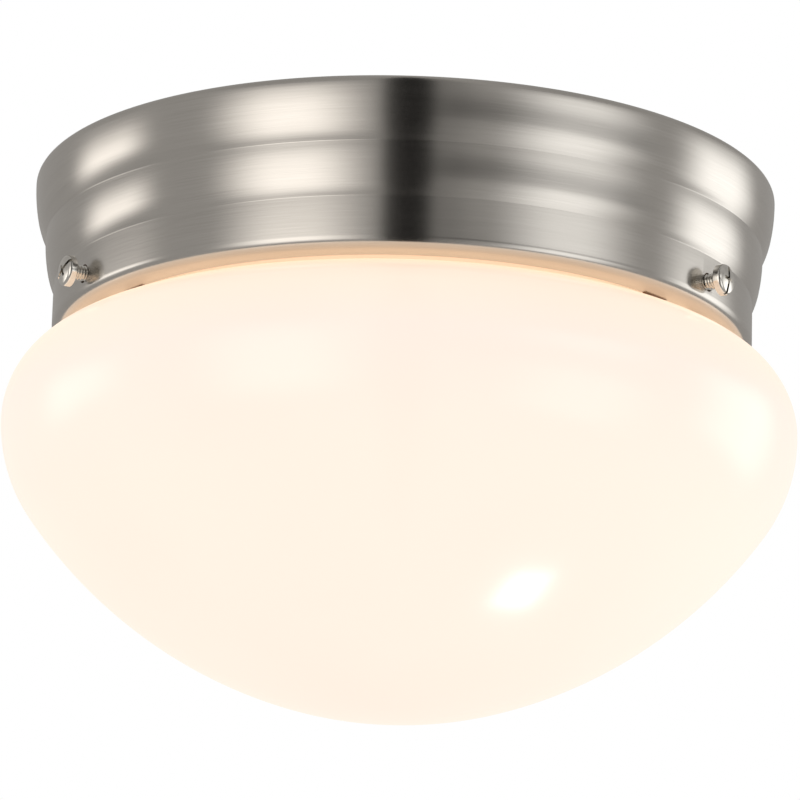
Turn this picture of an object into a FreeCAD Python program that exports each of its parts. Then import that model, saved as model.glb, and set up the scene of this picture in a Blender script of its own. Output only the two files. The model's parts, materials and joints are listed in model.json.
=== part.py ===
import FreeCAD, Part
import Sketcher
import math
import os
import re

# Flush mount ceiling light with a drawn metal canopy and an opal glass shade.
# Frame: origin on the axis in the ceiling plane, +Z up. Everything hangs below, so every height is a
# depth under the ceiling. Lengths are millimetres and angles are degrees.

SIZES = {
    # Canopy: one drawn ring of sheet metal, with two rounded steps down to a straight skirt.
    "canopy_depth": 40.5,
    "skirt_radius": 87.1,
    "first_drop": 2.9,
    "second_drop": 2.5,
    "canopy_wall": 0.8,
    "rim_corner": 1.8,
    "rim_width": 7,
    "first_foot_depth": 15.5,
    "first_crown": 16,
    "first_foot": 2,
    "band_height": 3.4,
    "second_crown": 16,
    "second_foot": 3,
    "lip_corner": 1.3,
    "lip_width": 7.6,
    # Shade: blown glass with a neck that goes up inside the canopy's lip.
    "shade_radius": 98.5,
    "shade_gap": 1.4,
    "shade_wall": 2.8,
    "shoulder_arc": 20.7,
    "neck_gap": 3,
    "neck_fillet": 2.5,
    "neck_top_depth": 22.5,
    "neck_bead": 1.5,
    "side_arc": 36.6,
    "side_angle": 35.3,
    "belly_arc": 120.1,
    "belly_angle": 70.4,
    # Three screws hold the neck under its bead. Each turns in a sheet steel nut clip.
    "screw_depth": 35,
    "screw_radius": 1.95,
    "screw_hole_radius": 2.3,
    "screw_head_radius": 3.8,
    "screw_head_height": 2.6,
    "screw_head_crown": 1.1,
    "screw_standoff": 3.2,
    "recess_width": 0.9,
    "recess_cross": 4.4,
    "recess_depth": 1.3,
    "tip_length": 1.2,
    "tip_radius": 1.45,
    "tip_stem_radius": 0.95,
    "tip_stem_length": 2,
    "touch_gap": 0.3,
    "thread_gap": 0.07,
    "fastener_gap": 0.05,
    "clip_wall": 1,
    "clip_seat": 0.05,
    "clip_height": 12,
    "clip_half_angle": 10.4,
    "clip_window": 12.4,
    "clip_hook_drop": 0.7,
    "clip_edge_gap": 0.1,
    "collar_radius": 3.4,
    "collar_length": 3,
    # Back plate, with its rim seated inside the band of the canopy.
    "plate_depth": 12,
    "plate_wall": 0.8,
    "plate_seat": 0.1,
    "plate_corner": 1.6,
    "pad_thickness": 9,
    "pad_margin": 6.8,
    "pad_hole_radius": 52,
    # Mounting strap across the outlet box, and the two studs that carry the plate.
    "strap_wall": 1.5,
    "strap_width": 20,
    "strap_length": 108,
    "strap_dip": 5,
    "strap_flat": 31,
    "strap_slope": 4,
    "box_hole_spacing": 88.9,
    "box_slot_radius": 2.4,
    "box_slot_length": 12,
    "stud_spacing": 54,
    "stud_radius": 2,
    "stud_gap": 0.1,
    "stud_head_radius": 3.9,
    "stud_head_height": 2.4,
    "stud_length": 13.6,
    "washer_radius": 5.5,
    "washer_wall": 1,
    "nut_across_flats": 8.7,
    "nut_hex_height": 3.6,
    "nut_height": 8,
    "nut_dome_radius": 4,
    "nut_bore_depth": 6.4,
    # Ground screw under the strap.
    "ground_offset": 12,
    "ground_head_radius": 4,
    "ground_head_height": 2,
    "ground_length": 5,
    # Lampholder, its bracket and fasteners. The lamp lies along X.
    "lamp_depth": 47,
    "holder_back": 62,
    "holder_length": 38,
    "holder_radius": 18.5,
    "holder_bore_radius": 14.2,
    "holder_floor": 8,
    "holder_rim": 1.5,
    "shell_radius": 14,
    "shell_wall": 0.5,
    "shell_inset": 1.5,
    "shell_length": 24,
    "shell_hole_radius": 11,
    "contact_radius": 5,
    "contact_wall": 0.6,
    "contact_rise": 1.4,
    "lead_hole_radius": 1.4,
    "lead_hole_depth": 2.4,
    "lead_hole_offset": 5,
    "lead_inset": 12,
    "bracket_wall": 1.2,
    "bracket_width": 26,
    "bracket_reach": 15,
    "bracket_below": 14,
    "holder_screw_spacing": 16,
    "holder_screw_radius": 1.5,
    "holder_screw_length": 8,
    "holder_screw_head": 2.8,
    "rivet_spacing": 14,
    "rivet_radius": 1.6,
    "rivet_head_radius": 3,
    "rivet_head_height": 0.9,
    "rivet_relief": 0.5,
    # Lamp: a household bulb with a screw base.
    "bulb_length": 108,
    "bulb_radius": 30,
    "bulb_base_radius": 13.1,
    "bulb_base_length": 24.6,
    "bulb_base_lead": 2,
    "bulb_insulator_length": 3,
    "bulb_insulator_radius": 7,
    "bulb_contact_radius": 4.5,
    "bulb_contact_height": 1,
    "bulb_collar_radius": 14.8,
    "bulb_collar_length": 4,
    "bulb_housing_radius": 27.5,
    "bulb_housing_arc": 70,
    # Wiring through the plate to the splices in the recess.
    "bushing_offset": 22,
    "bushing_radius": 8,
    "bushing_flange": 9.6,
    "bushing_flange_wall": 1.1,
    "bushing_bore": 5.6,
    "bushing_gap": 0.05,
    "lead_radius": 1.2,
    "splice_radius": 4.3,
    "splice_mouth_radius": 3.6,
    "splice_tip_radius": 2.6,
    "splice_length": 15,
    "splice_start": 14,
    "splice_wall": 1,
    "splice_depth": 7.2,
    "ground_splice_start": 17,
    "ground_lead_bend": 4,
    "lead_route_drop": 7.5,
    "lead_pass_offset": 2.2,
}

# Radii that follow from the skirt's, and the depth of the shade's widest place.
DERIVED = {
    "band_radius": "skirt_radius + second_drop",
    "canopy_radius": "skirt_radius + second_drop + first_drop",
    "rim_hole_radius": "canopy_radius - rim_width",
    "lip_hole_radius": "skirt_radius - lip_width",
    "neck_radius": "lip_hole_radius - neck_gap",
    "pad_radius": "band_radius - canopy_wall - pad_margin",
    "equator_depth": "canopy_depth + shade_gap + shoulder_arc",
}

# Directions of the three shade screws around the axis, and of the splices, measured from +X.
SCREW_DIRECTIONS = {"rear": 90, "left": 210, "right": 330}
SPLICE_DIRECTIONS = {"line": -90, "neutral": 90, "ground": 0}

doc = FreeCAD.newDocument("ceiling_light")
sheet = doc.addObject("Spreadsheet::Sheet", "Sizes")
for row, (alias, size) in enumerate(SIZES.items(), start=1):
    sheet.set(f"A{row}", alias)
    sheet.set(f"B{row}", str(size))
    sheet.setAlias(f"B{row}", alias)
doc.recompute()

nodes = []


def bind_word(found):
    """One word of an expression: a size, one that follows from others, or the name of a function."""
    word = found[0]
    if word in DERIVED:
        return f"({bind(DERIVED[word])})"
    return f"Sizes.{word}" if word in SIZES else word


def bind(text):
    """An expression in plain size names, written so that it reads the sheet."""
    return re.sub(r"[a-z_]+", bind_word, text)


def number(text):
    """What an expression comes to with the sizes as they are."""
    return float(sheet.evalExpression(bind(text)))


def origin_feature(body, role):
    """One of the planes or axes of a body's own origin."""
    return [item for item in body.Origin.OriginFeatures if item.Role == role][0]


def keep(item, label):
    """Names a finished sub-part. The name is also its node's."""
    item.Label = label
    nodes.append(item)
    return item


def new_body(name, x=None, y=None, z=None, turn=None):
    """A body whose place, and turn about Z, are bound to the sheet."""
    body = doc.addObject("PartDesign::Body", name)
    if turn is not None:
        around_axis = FreeCAD.Rotation(FreeCAD.Vector(0, 0, 1), turn)
        body.Placement = FreeCAD.Placement(FreeCAD.Vector(), around_axis)
    for axis, text in (("x", x), ("y", y), ("z", z)):
        if text is not None:
            body.setExpression(f"Placement.Base.{axis}", bind(text))
    return body


def sketch_on(body, role, offset=None):
    """An empty sketch on an origin plane of the body, moved along the plane's normal by offset."""
    sketch = body.newObject("Sketcher::SketchObject", f"{body.Name}_sketch")
    sketch.AttachmentSupport = [(origin_feature(body, role), "")]
    sketch.MapMode = "FlatFace"
    if offset is not None:
        sketch.setExpression("AttachmentOffset.Base.z", bind(offset))
    return sketch


def hold_point(sketch, geometry, corner, across, up):
    """Pins one point of a sketch to its two expressions, measured from the origin."""
    for kind, axis, text in (("DistanceX", -2, across), ("DistanceY", -1, up)):
        size = number(text)
        if abs(size) < 1e-9:
            sketch.addConstraint(Sketcher.Constraint("PointOnObject", geometry, corner, axis))
            continue
        ends = (-1, 1, geometry, corner) if size > 0 else (geometry, corner, -1, 1)
        index = sketch.addConstraint(Sketcher.Constraint(kind, *ends, abs(size)))
        sketch.setExpression(f"Constraints[{index}]", bind(text if size > 0 else f"-({text})"))


def arc_between(start, end, radius, left):
    """The short arc from start to end that turns left or right, and which of its ends comes first."""
    chord = end - start
    across = FreeCAD.Vector(-chord.y, chord.x, 0).normalize() * (1 if left else -1)
    rise = math.sqrt(max(radius**2 - chord.Length**2 / 4, 0))
    centre = start + chord / 2 + across * rise
    first, last = (start, end) if left else (end, start)
    angles = [math.atan2(point.y - centre.y, point.x - centre.x) for point in (first, last)]
    return Part.ArcOfCircle(Part.Circle(centre, FreeCAD.Vector(0, 0, 1), radius), *angles)


def outline(sketch, points):
    """Draws a closed outline. A point is (across, up), or (across, up, radius, "left" or "right")
    where an arc that turns that way arrives at it."""
    spots = [FreeCAD.Vector(number(point[0]), number(point[1]), 0) for point in points]
    ends = []
    for index, point in enumerate(points):
        start, end = spots[index - 1], spots[index]
        if len(point) == 2:
            geometry = sketch.addGeometry(Part.LineSegment(start, end))
            ends.append((geometry, 1, 2))
            continue
        left = point[3] == "left"
        geometry = sketch.addGeometry(arc_between(start, end, number(point[2]), left))
        ends.append((geometry, 1, 2) if left else (geometry, 2, 1))
    for index, point in enumerate(points):
        geometry, _, last = ends[index]
        following, first, _ = ends[(index + 1) % len(points)]
        sketch.addConstraint(Sketcher.Constraint("Coincident", geometry, last, following, first))
        hold_point(sketch, geometry, last, point[0], point[1])
    for index, point in enumerate(points):
        if len(point) == 4:
            radius = Sketcher.Constraint("Radius", ends[index][0], number(point[2]))
            place = sketch.addConstraint(radius)
            sketch.setExpression(f"Constraints[{place}]", bind(point[2]))


def circle(sketch, across, up, radius):
    """Draws a circle whose centre and radius are bound to the sheet."""
    centre = FreeCAD.Vector(number(across), number(up), 0)
    drawn = Part.Circle(centre, FreeCAD.Vector(0, 0, 1), number(radius))
    geometry = sketch.addGeometry(drawn)
    hold_point(sketch, geometry, 3, across, up)
    place = sketch.addConstraint(Sketcher.Constraint("Radius", geometry, number(radius)))
    sketch.setExpression(f"Constraints[{place}]", bind(radius))


def revolve(body, points, axis="V_Axis", angle=None):
    """A solid of revolution from an outline in the body's XZ plane, whole or to both sides of it."""
    sketch = sketch_on(body, "XZ_Plane")
    outline(sketch, points)
    turned = body.newObject("PartDesign::Revolution", f"{body.Name}_revolution")
    turned.Profile = sketch
    turned.ReferenceAxis = (sketch, [axis])
    if angle is not None:
        turned.Midplane = True
        turned.setExpression("Angle", bind(angle))
    doc.recompute()
    return turned


def pad(body, sketch, length, reverse=False, middle=False):
    """A solid drawn out of a sketch."""
    drawn = body.newObject("PartDesign::Pad", f"{body.Name}_pad")
    drawn.Profile = sketch
    drawn.setExpression("Length", bind(length))
    drawn.Reversed = reverse
    drawn.Midplane = middle
    doc.recompute()
    return drawn


def pocket(body, sketch, length=None, reverse=False, middle=False):
    """A cut from a sketch, through everything where it has no length. It must take something away."""
    before = body.Shape.Volume
    cut = body.newObject("PartDesign::Pocket", f"{body.Name}_pocket")
    cut.Profile = sketch
    cut.Reversed = reverse
    cut.Midplane = middle
    if length is None:
        cut.Type = "ThroughAll"
    else:
        cut.setExpression("Length", bind(length))
    doc.recompute()
    if not body.Shape.Volume < before - 1e-3:
        raise ValueError(f"a cut in {body.Name} takes nothing away")
    return cut


def around(body, feature, count):
    """Repeats a feature evenly around the body's Z axis."""
    pattern = body.newObject("PartDesign::PolarPattern", f"{body.Name}_pattern")
    pattern.Originals = [feature]
    pattern.Axis = (origin_feature(body, "Z_Axis"), [""])
    pattern.Angle = 360
    pattern.Occurrences = count
    body.Tip = pattern
    doc.recompute()


def rectangle(low_across, high_across, low_up, high_up):
    """Corners of a rectangle."""
    return [(low_across, low_up), (high_across, low_up), (high_across, high_up), (low_across, high_up)]


def group(label, members):
    """Identical pieces that share one node as separate solids."""
    together = doc.addObject("Part::Compound", label)
    together.Links = members
    return keep(together, label)


# ---------------------------------------------------------------- canopy

FIRST_TURN = "acos(1 - (canopy_radius - band_radius) / (first_crown + first_foot))"
SECOND_TURN = "acos(1 - (band_radius - skirt_radius) / (second_crown + second_foot))"
FIRST_START = f"(first_foot_depth - (first_crown + first_foot) * sin({FIRST_TURN}))"
SECOND_START = "(first_foot_depth + band_height)"
SECOND_FOOT_DEPTH = f"({SECOND_START} + (second_crown + second_foot) * sin({SECOND_TURN}))"
SKIRT_INSIDE = "(skirt_radius - canopy_wall)"
FLANGE_TOP = "(canopy_depth - canopy_wall)"


def step_turn(radius, crown, start, turn, wall):
    """The point where a step's crown meets its foot, on the outside or a wall's thickness inside."""
    across = f"{radius} - {crown} + ({crown} - {wall}) * cos({turn})"
    return across, f"-({start} + ({crown} - {wall}) * sin({turn}))"


def canopy_shell():
    """The drawn ring: a top flange on the ceiling, two rounded steps, a skirt and a turned-in lip."""
    body = new_body("canopy_shell", turn=SCREW_DIRECTIONS["rear"])
    first_turn = step_turn("canopy_radius", "first_crown", FIRST_START, FIRST_TURN, "0")
    second_turn = step_turn("band_radius", "second_crown", SECOND_START, SECOND_TURN, "0")
    outside = [
        ("rim_hole_radius", "0"),
        ("canopy_radius - rim_corner", "0"),
        ("canopy_radius", "-rim_corner", "rim_corner", "right"),
        ("canopy_radius", f"-{FIRST_START}"),
        (*first_turn, "first_crown", "right"),
        ("band_radius", "-first_foot_depth", "first_foot", "left"),
        ("band_radius", f"-{SECOND_START}"),
        (*second_turn, "second_crown", "right"),
        ("skirt_radius", f"-{SECOND_FOOT_DEPTH}", "second_foot", "left"),
        ("skirt_radius", "-(canopy_depth - lip_corner)"),
        ("skirt_radius - lip_corner", "-canopy_depth", "lip_corner", "right"),
        ("lip_hole_radius", "-canopy_depth"),
    ]
    second = step_turn("band_radius", "second_crown", SECOND_START, SECOND_TURN, "canopy_wall")
    first = step_turn("canopy_radius", "first_crown", FIRST_START, FIRST_TURN, "canopy_wall")
    inside = [
        ("lip_hole_radius", f"-{FLANGE_TOP}"),
        ("skirt_radius - lip_corner", f"-{FLANGE_TOP}"),
        (SKIRT_INSIDE, "-(canopy_depth - lip_corner)", "lip_corner - canopy_wall", "left"),
        (SKIRT_INSIDE, f"-{SECOND_FOOT_DEPTH}"),
        (*second, "second_foot + canopy_wall", "right"),
        ("band_radius - canopy_wall", f"-{SECOND_START}", "second_crown - canopy_wall", "left"),
        ("band_radius - canopy_wall", "-first_foot_depth"),
        (*first, "first_foot + canopy_wall", "right"),
        ("canopy_radius - canopy_wall", f"-{FIRST_START}", "first_crown - canopy_wall", "left"),
        ("canopy_radius - canopy_wall", "-rim_corner"),
        ("canopy_radius - rim_corner", "-canopy_wall", "rim_corner - canopy_wall", "left"),
        ("rim_hole_radius", "-canopy_wall"),
    ]
    revolve(body, outside + inside)
    hole = sketch_on(body, "YZ_Plane")
    circle(hole, "0", "-screw_depth", "screw_hole_radius")
    around(body, pocket(body, hole, reverse=True), len(SCREW_DIRECTIONS))
    return keep(body, "canopy_shell")


PLATE_RIM = "(band_radius - canopy_wall - plate_seat)"
PLATE_INSIDE = f"({PLATE_RIM} - plate_wall)"
PLATE_UNDER = "(plate_depth + plate_wall)"
RIVET_ACROSS = "-(holder_back + bracket_wall + bracket_reach / 2)"


def back_plate():
    """A shallow dish, its rim turned down into the canopy's band, with holes for what it carries."""
    body = new_body("back_plate")
    rim_end = f"-{SECOND_START}"
    points = [
        ("0", "-plate_depth"),
        ("0", f"-{PLATE_UNDER}"),
        (f"{PLATE_RIM} - plate_corner", f"-{PLATE_UNDER}"),
        (PLATE_INSIDE, "-(plate_depth + plate_corner)", "plate_corner - plate_wall", "right"),
        (PLATE_INSIDE, rim_end),
        (PLATE_RIM, rim_end),
        (PLATE_RIM, "-(plate_depth + plate_corner)"),
        (f"{PLATE_RIM} - plate_corner", "-plate_depth", "plate_corner", "left"),
    ]
    revolve(body, points)
    holes = sketch_on(body, "XY_Plane")
    circle(holes, "-bushing_offset", "0", "bushing_radius")
    for side in ("", "-"):
        circle(holes, "0", f"{side}stud_spacing / 2", "stud_radius + stud_gap")
        circle(holes, RIVET_ACROSS, f"{side}rivet_spacing / 2", "rivet_radius + fastener_gap")
    pocket(body, holes)
    return keep(body, "back_plate")


def insulation_pad():
    """A ring of glass fibre on the back of the plate, relieved over the rivet heads."""
    body = new_body("insulation_pad")
    ring = sketch_on(body, "XY_Plane", "-plate_depth")
    circle(ring, "0", "0", "pad_radius")
    circle(ring, "0", "0", "pad_hole_radius")
    pad(body, ring, "pad_thickness")
    relief = sketch_on(body, "XY_Plane", "-plate_depth")
    for side in ("", "-"):
        circle(relief, RIVET_ACROSS, f"{side}rivet_spacing / 2", "rivet_head_radius + rivet_relief")
    pocket(body, relief, "rivet_head_height + rivet_relief", reverse=True)
    return keep(body, "insulation_pad")


def mounting_strap():
    """A cranked bar: its ends lie flat on the ceiling box and its middle dips to carry the studs."""
    body = new_body("mounting_strap")
    half = "strap_length / 2"
    bend = "strap_flat + strap_slope"
    side = sketch_on(body, "YZ_Plane")
    outline(side, [
        (f"-{half}", "0"),
        (f"-{half}", "-strap_wall"),
        (f"-({bend})", "-strap_wall"),
        ("-strap_flat", "-(strap_dip + strap_wall)"),
        ("strap_flat", "-(strap_dip + strap_wall)"),
        (bend, "-strap_wall"),
        (half, "-strap_wall"),
        (half, "0"),
        (bend, "0"),
        ("strap_flat", "-strap_dip"),
        ("-strap_flat", "-strap_dip"),
        (f"-({bend})", "0"),
    ])
    pad(body, side, "strap_width", middle=True)
    holes = sketch_on(body, "XY_Plane")
    for sign in ("", "-"):
        near = f"{sign}(box_hole_spacing / 2 - box_slot_length / 2 + box_slot_radius)"
        far = f"{sign}(box_hole_spacing / 2 + box_slot_length / 2 - box_slot_radius)"
        low, high = (near, far) if sign == "" else (far, near)
        outline(holes, [
            ("-box_slot_radius", low),
            ("0", f"{low} - box_slot_radius", "box_slot_radius", "left"),
            ("box_slot_radius", low, "box_slot_radius", "left"),
            ("box_slot_radius", high),
            ("0", f"{high} + box_slot_radius", "box_slot_radius", "left"),
            ("-box_slot_radius", high, "box_slot_radius", "left"),
        ])
        circle(holes, "0", f"{sign}stud_spacing / 2", "stud_radius + fastener_gap")
    circle(holes, "0", "ground_offset", "stud_radius + fastener_gap")
    pocket(body, holes, middle=True)
    return keep(body, "mounting_strap")


def mounting_studs():
    """Two screws with their heads on the strap, pointing down through the plate."""
    members = []
    for name, y in (("front", "-stud_spacing / 2"), ("back", "stud_spacing / 2")):
        body = new_body(f"mounting_stud_{name}", y=y, z="-strap_dip")
        revolve(body, [
            ("0", "-stud_length"),
            ("stud_radius", "-stud_length"),
            ("stud_radius", "0"),
            ("stud_head_radius", "0"),
            ("stud_head_radius", "stud_head_height / 2"),
            ("0", "stud_head_height"),
        ])
        members.append(body)
    return group("mounting_studs", members)


def stud_washers():
    """A washer under the plate on each stud."""
    members = []
    for name, y in (("front", "-stud_spacing / 2"), ("back", "stud_spacing / 2")):
        body = new_body(f"stud_washer_{name}", y=y)
        ring = sketch_on(body, "XY_Plane", f"-{PLATE_UNDER}")
        circle(ring, "0", "0", "washer_radius")
        circle(ring, "0", "0", "stud_radius + stud_gap")
        pad(body, ring, "washer_wall", reverse=True)
        members.append(body)
    return group("stud_washers", members)


NUT_TOP = f"({PLATE_UNDER} + washer_wall)"


def cap_nuts():
    """A domed nut on each stud: a hexagon, a dome below it and a blind bore above."""
    members = []
    for name, y in (("front", "-stud_spacing / 2"), ("back", "stud_spacing / 2")):
        body = new_body(f"cap_nut_{name}", y=y, z=f"-{NUT_TOP}")
        hexagon = sketch_on(body, "XY_Plane")
        corner = "nut_across_flats / sqrt(3)"
        outline(hexagon, [(f"{corner} * cos({turn} deg)", f"{corner} * sin({turn} deg)")
                          for turn in range(0, 360, 60)])
        pad(body, hexagon, "nut_hex_height", reverse=True)
        revolve(body, [
            ("0", "-nut_hex_height"),
            ("0", "-nut_height"),
            ("nut_dome_radius", "-(nut_height - nut_dome_radius)", "nut_dome_radius", "left"),
            ("nut_dome_radius", "-nut_hex_height"),
        ])
        bore = sketch_on(body, "XY_Plane")
        circle(bore, "0", "0", "stud_radius + fastener_gap")
        pocket(body, bore, "nut_bore_depth")
        members.append(body)
    return group("cap_nuts", members)


def ground_screw():
    """The ground screw, driven up into the strap, with its head below."""
    body = new_body("ground_screw", y="ground_offset", z="-(strap_dip + strap_wall)")
    revolve(body, [
        ("0", "-ground_head_height"),
        ("ground_head_radius", "-ground_head_height"),
        ("ground_head_radius", "0"),
        ("stud_radius", "0"),
        ("stud_radius", "ground_length"),
        ("0", "ground_length"),
    ])
    slot = sketch_on(body, "XY_Plane", "-ground_head_height")
    outline(slot, rectangle("-ground_head_radius", "ground_head_radius",
                            "-recess_width / 2", "recess_width / 2"))
    pocket(body, slot, "ground_head_height / 2", reverse=True)
    return keep(body, "ground_screw")


# ---------------------------------------------------------------- shade and its screws

NECK_TURN_ACROSS = "(neck_radius + neck_fillet - (shade_radius - shoulder_arc))"
FILLET_RISE = f"sqrt((shoulder_arc + neck_fillet)^2 - {NECK_TURN_ACROSS}^2)"
FILLET_DEPTH = f"(equator_depth - {FILLET_RISE})"
BELLY_START = "(shade_radius - side_arc * (1 - cos(side_angle * 1 deg)))"
BELLY_DEPTH = "(equator_depth + side_arc * sin(side_angle * 1 deg))"
CROWN_START = f"({BELLY_START} - belly_arc * (cos(side_angle * 1 deg) - cos(belly_angle * 1 deg)))"
CROWN_DEPTH = f"({BELLY_DEPTH} + belly_arc * (sin(belly_angle * 1 deg) - sin(side_angle * 1 deg)))"
CROWN_ARC = f"({CROWN_START} / cos(belly_angle * 1 deg))"


def shade_point(across, depth, angle, wall):
    """A point of the bowl where its outward normal is angle below level, or a wall's thickness inside."""
    return f"{across} - {wall} * cos({angle} * 1 deg)", f"-({depth} - {wall} * sin({angle} * 1 deg))"


def shoulder_point(wall):
    """Where the shoulder's arc turns up into the fillet of the neck."""
    share = "/ (shoulder_arc + neck_fillet)"
    across = f"shade_radius - shoulder_arc + {NECK_TURN_ACROSS} * (shoulder_arc - {wall}) {share}"
    return across, f"-(equator_depth - {FILLET_RISE} * (shoulder_arc - {wall}) {share})"


def bowl(wall):
    """The bowl's outline from its lowest point up to the neck, and where each arc's centre is kept."""
    crown_depth = f"({CROWN_DEPTH} + {CROWN_ARC} * (1 - sin(belly_angle * 1 deg)))"
    return [
        ("0", f"-({crown_depth} - {wall})"),
        (*shade_point(CROWN_START, CROWN_DEPTH, "belly_angle", wall), f"{CROWN_ARC} - {wall}", "left"),
        (*shade_point(BELLY_START, BELLY_DEPTH, "side_angle", wall), f"belly_arc - {wall}", "left"),
        (f"shade_radius - {wall}", "-equator_depth", f"side_arc - {wall}", "left"),
        (*shoulder_point(wall), f"shoulder_arc - {wall}", "left"),
        (f"neck_radius - {wall}", f"-{FILLET_DEPTH}", f"neck_fillet + {wall}", "right"),
    ]


def turned_back(points):
    """The same outline drawn the other way round."""
    opposite = {"left": "right", "right": "left"}
    back = []
    for index in range(len(points) - 1, -1, -1):
        arc = points[index + 1][2:] if index + 1 < len(points) else ()
        back.append((*points[index][:2], *([arc[0], opposite[arc[1]]] if arc else [])))
    return back


def glass_shade():
    """The opal bowl: its neck has a rolled bead at the top, which the screws pass under."""
    body = new_body("glass_shade")
    bead = [
        ("neck_radius", "-(neck_top_depth + 2 * neck_bead)"),
        ("neck_radius + neck_bead", "-(neck_top_depth + neck_bead)", "neck_bead", "left"),
        ("neck_radius", "-neck_top_depth", "neck_bead", "left"),
        ("neck_radius - shade_wall", "-neck_top_depth"),
    ]
    revolve(body, bowl("0") + bead + turned_back(bowl("shade_wall")))
    return keep(body, "glass_shade")


SCREW_END = "(neck_radius + touch_gap + tip_length)"
HEAD_UNDER = "(skirt_radius + screw_standoff)"


def shade_screw(name, direction):
    """A pan head machine screw, its axis towards the neck. It has a bore for the soft tip."""
    body = new_body(f"shade_screw_{name}", z="-screw_depth", turn=direction)
    head_top = f"({HEAD_UNDER} + screw_head_height)"
    crown = "screw_head_crown"
    revolve(body, [
        (SCREW_END, "tip_stem_radius + fastener_gap"),
        (f"{SCREW_END} + tip_stem_length", "tip_stem_radius + fastener_gap"),
        (f"{SCREW_END} + tip_stem_length", "0"),
        (head_top, "0"),
        (head_top, f"screw_head_radius - {crown}"),
        (f"{head_top} - {crown}", "screw_head_radius", crown, "left"),
        (HEAD_UNDER, "screw_head_radius"),
        (HEAD_UNDER, "screw_radius"),
        (SCREW_END, "screw_radius"),
    ], axis="H_Axis")
    recess = sketch_on(body, "YZ_Plane", head_top)
    wide, cross, thin = "screw_head_radius", "recess_cross / 2", "recess_width / 2"
    outline(recess, [
        (f"-{wide}", f"-{thin}"), (f"-{thin}", f"-{thin}"), (f"-{thin}", f"-{cross}"),
        (thin, f"-{cross}"), (thin, f"-{thin}"), (wide, f"-{thin}"),
        (wide, thin), (thin, thin), (thin, cross),
        (f"-{thin}", cross), (f"-{thin}", thin), (f"-{wide}", thin),
    ])
    pocket(body, recess, "recess_depth")
    return keep(body, f"shade_screw_{name}")


def screw_tip(name, direction):
    """The soft tip in the end of a shade screw, which stays still on the glass while the screw turns."""
    body = new_body(f"screw_tip_{name}", z="-screw_depth", turn=direction)
    revolve(body, [
        ("neck_radius + touch_gap", "0"),
        (f"{SCREW_END} + tip_stem_length", "0"),
        (f"{SCREW_END} + tip_stem_length", "tip_stem_radius"),
        (SCREW_END, "tip_stem_radius"),
        (SCREW_END, "tip_radius"),
        ("neck_radius + touch_gap", "tip_radius"),
    ], axis="H_Axis")
    return keep(body, f"screw_tip_{name}")


CLIP_OUTSIDE = f"({SKIRT_INSIDE} - clip_seat)"
CLIP_FOOT = f"({FLANGE_TOP} - clip_seat)"
HOOK_OUTSIDE = "(lip_hole_radius - clip_edge_gap)"


def nut_clip(name, direction):
    """A sprung steel clip inside the skirt: two feet stand on the lip and hook round its edge, and a
    drawn collar between them has the screw's thread."""
    body = new_body(f"nut_clip_{name}", turn=direction)
    top = "(screw_depth - clip_height / 2)"
    hook_end = "(canopy_depth + clip_hook_drop)"
    revolve(body, [
        (CLIP_OUTSIDE, f"-{top}"),
        (CLIP_OUTSIDE, "-(canopy_depth - lip_corner - clip_seat)"),
        (f"{CLIP_OUTSIDE} - clip_wall", f"-{CLIP_FOOT}"),
        (HOOK_OUTSIDE, f"-{CLIP_FOOT}"),
        (HOOK_OUTSIDE, f"-{hook_end}"),
        (f"{HOOK_OUTSIDE} - clip_wall", f"-{hook_end}"),
        (f"{HOOK_OUTSIDE} - clip_wall", f"-({CLIP_FOOT} - clip_wall)"),
        (f"{CLIP_OUTSIDE} - clip_wall", f"-({CLIP_FOOT} - clip_wall)"),
        (f"{CLIP_OUTSIDE} - clip_wall", f"-{top}"),
    ], angle="2 * clip_half_angle")
    window = sketch_on(body, "YZ_Plane")
    outline(window, rectangle("-clip_window / 2", "clip_window / 2", f"-({hook_end} + clip_wall)",
                              f"-({CLIP_FOOT} - clip_wall)"))
    pocket(body, window, reverse=True)
    collar = sketch_on(body, "YZ_Plane", f"{CLIP_OUTSIDE} - clip_wall - collar_length")
    circle(collar, "0", "-screw_depth", "collar_radius")
    pad(body, collar, "collar_length + clip_wall / 2")
    thread = sketch_on(body, "YZ_Plane")
    circle(thread, "0", "-screw_depth", "screw_radius + thread_gap")
    pocket(body, thread, reverse=True)
    return keep(body, f"nut_clip_{name}")


# ---------------------------------------------------------------- lampholder

HOLDER_MOUTH = "(holder_length - holder_back)"
LEAD_ACROSS = "-(holder_back - lead_inset)"
LEAD_HOLE_FLOOR = "(sqrt(holder_radius^2 - lead_hole_offset^2) - lead_hole_depth)"


def lampholder_body():
    """The porcelain lampholder: a blind bore for the screw shell and terminal holes on top."""
    body = new_body("lampholder_body", z="-lamp_depth")
    revolve(body, [
        ("-holder_back", "0"),
        ("-(holder_back - holder_floor)", "0"),
        ("-(holder_back - holder_floor)", "holder_bore_radius"),
        (HOLDER_MOUTH, "holder_bore_radius"),
        (HOLDER_MOUTH, "holder_radius - holder_rim"),
        (f"{HOLDER_MOUTH} - holder_rim", "holder_radius", "holder_rim", "left"),
        ("-holder_back", "holder_radius"),
    ], axis="H_Axis")
    leads = sketch_on(body, "XY_Plane", LEAD_HOLE_FLOOR)
    screws = sketch_on(body, "YZ_Plane", "-holder_back")
    for side in ("", "-"):
        circle(leads, LEAD_ACROSS, f"{side}lead_hole_offset", "lead_hole_radius")
        circle(screws, f"{side}holder_screw_spacing / 2", "0", "holder_screw_radius + fastener_gap")
    pocket(body, leads, reverse=True)
    pocket(body, screws, "holder_screw_length - bracket_wall", reverse=True)
    return keep(body, "lampholder_body")


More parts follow.
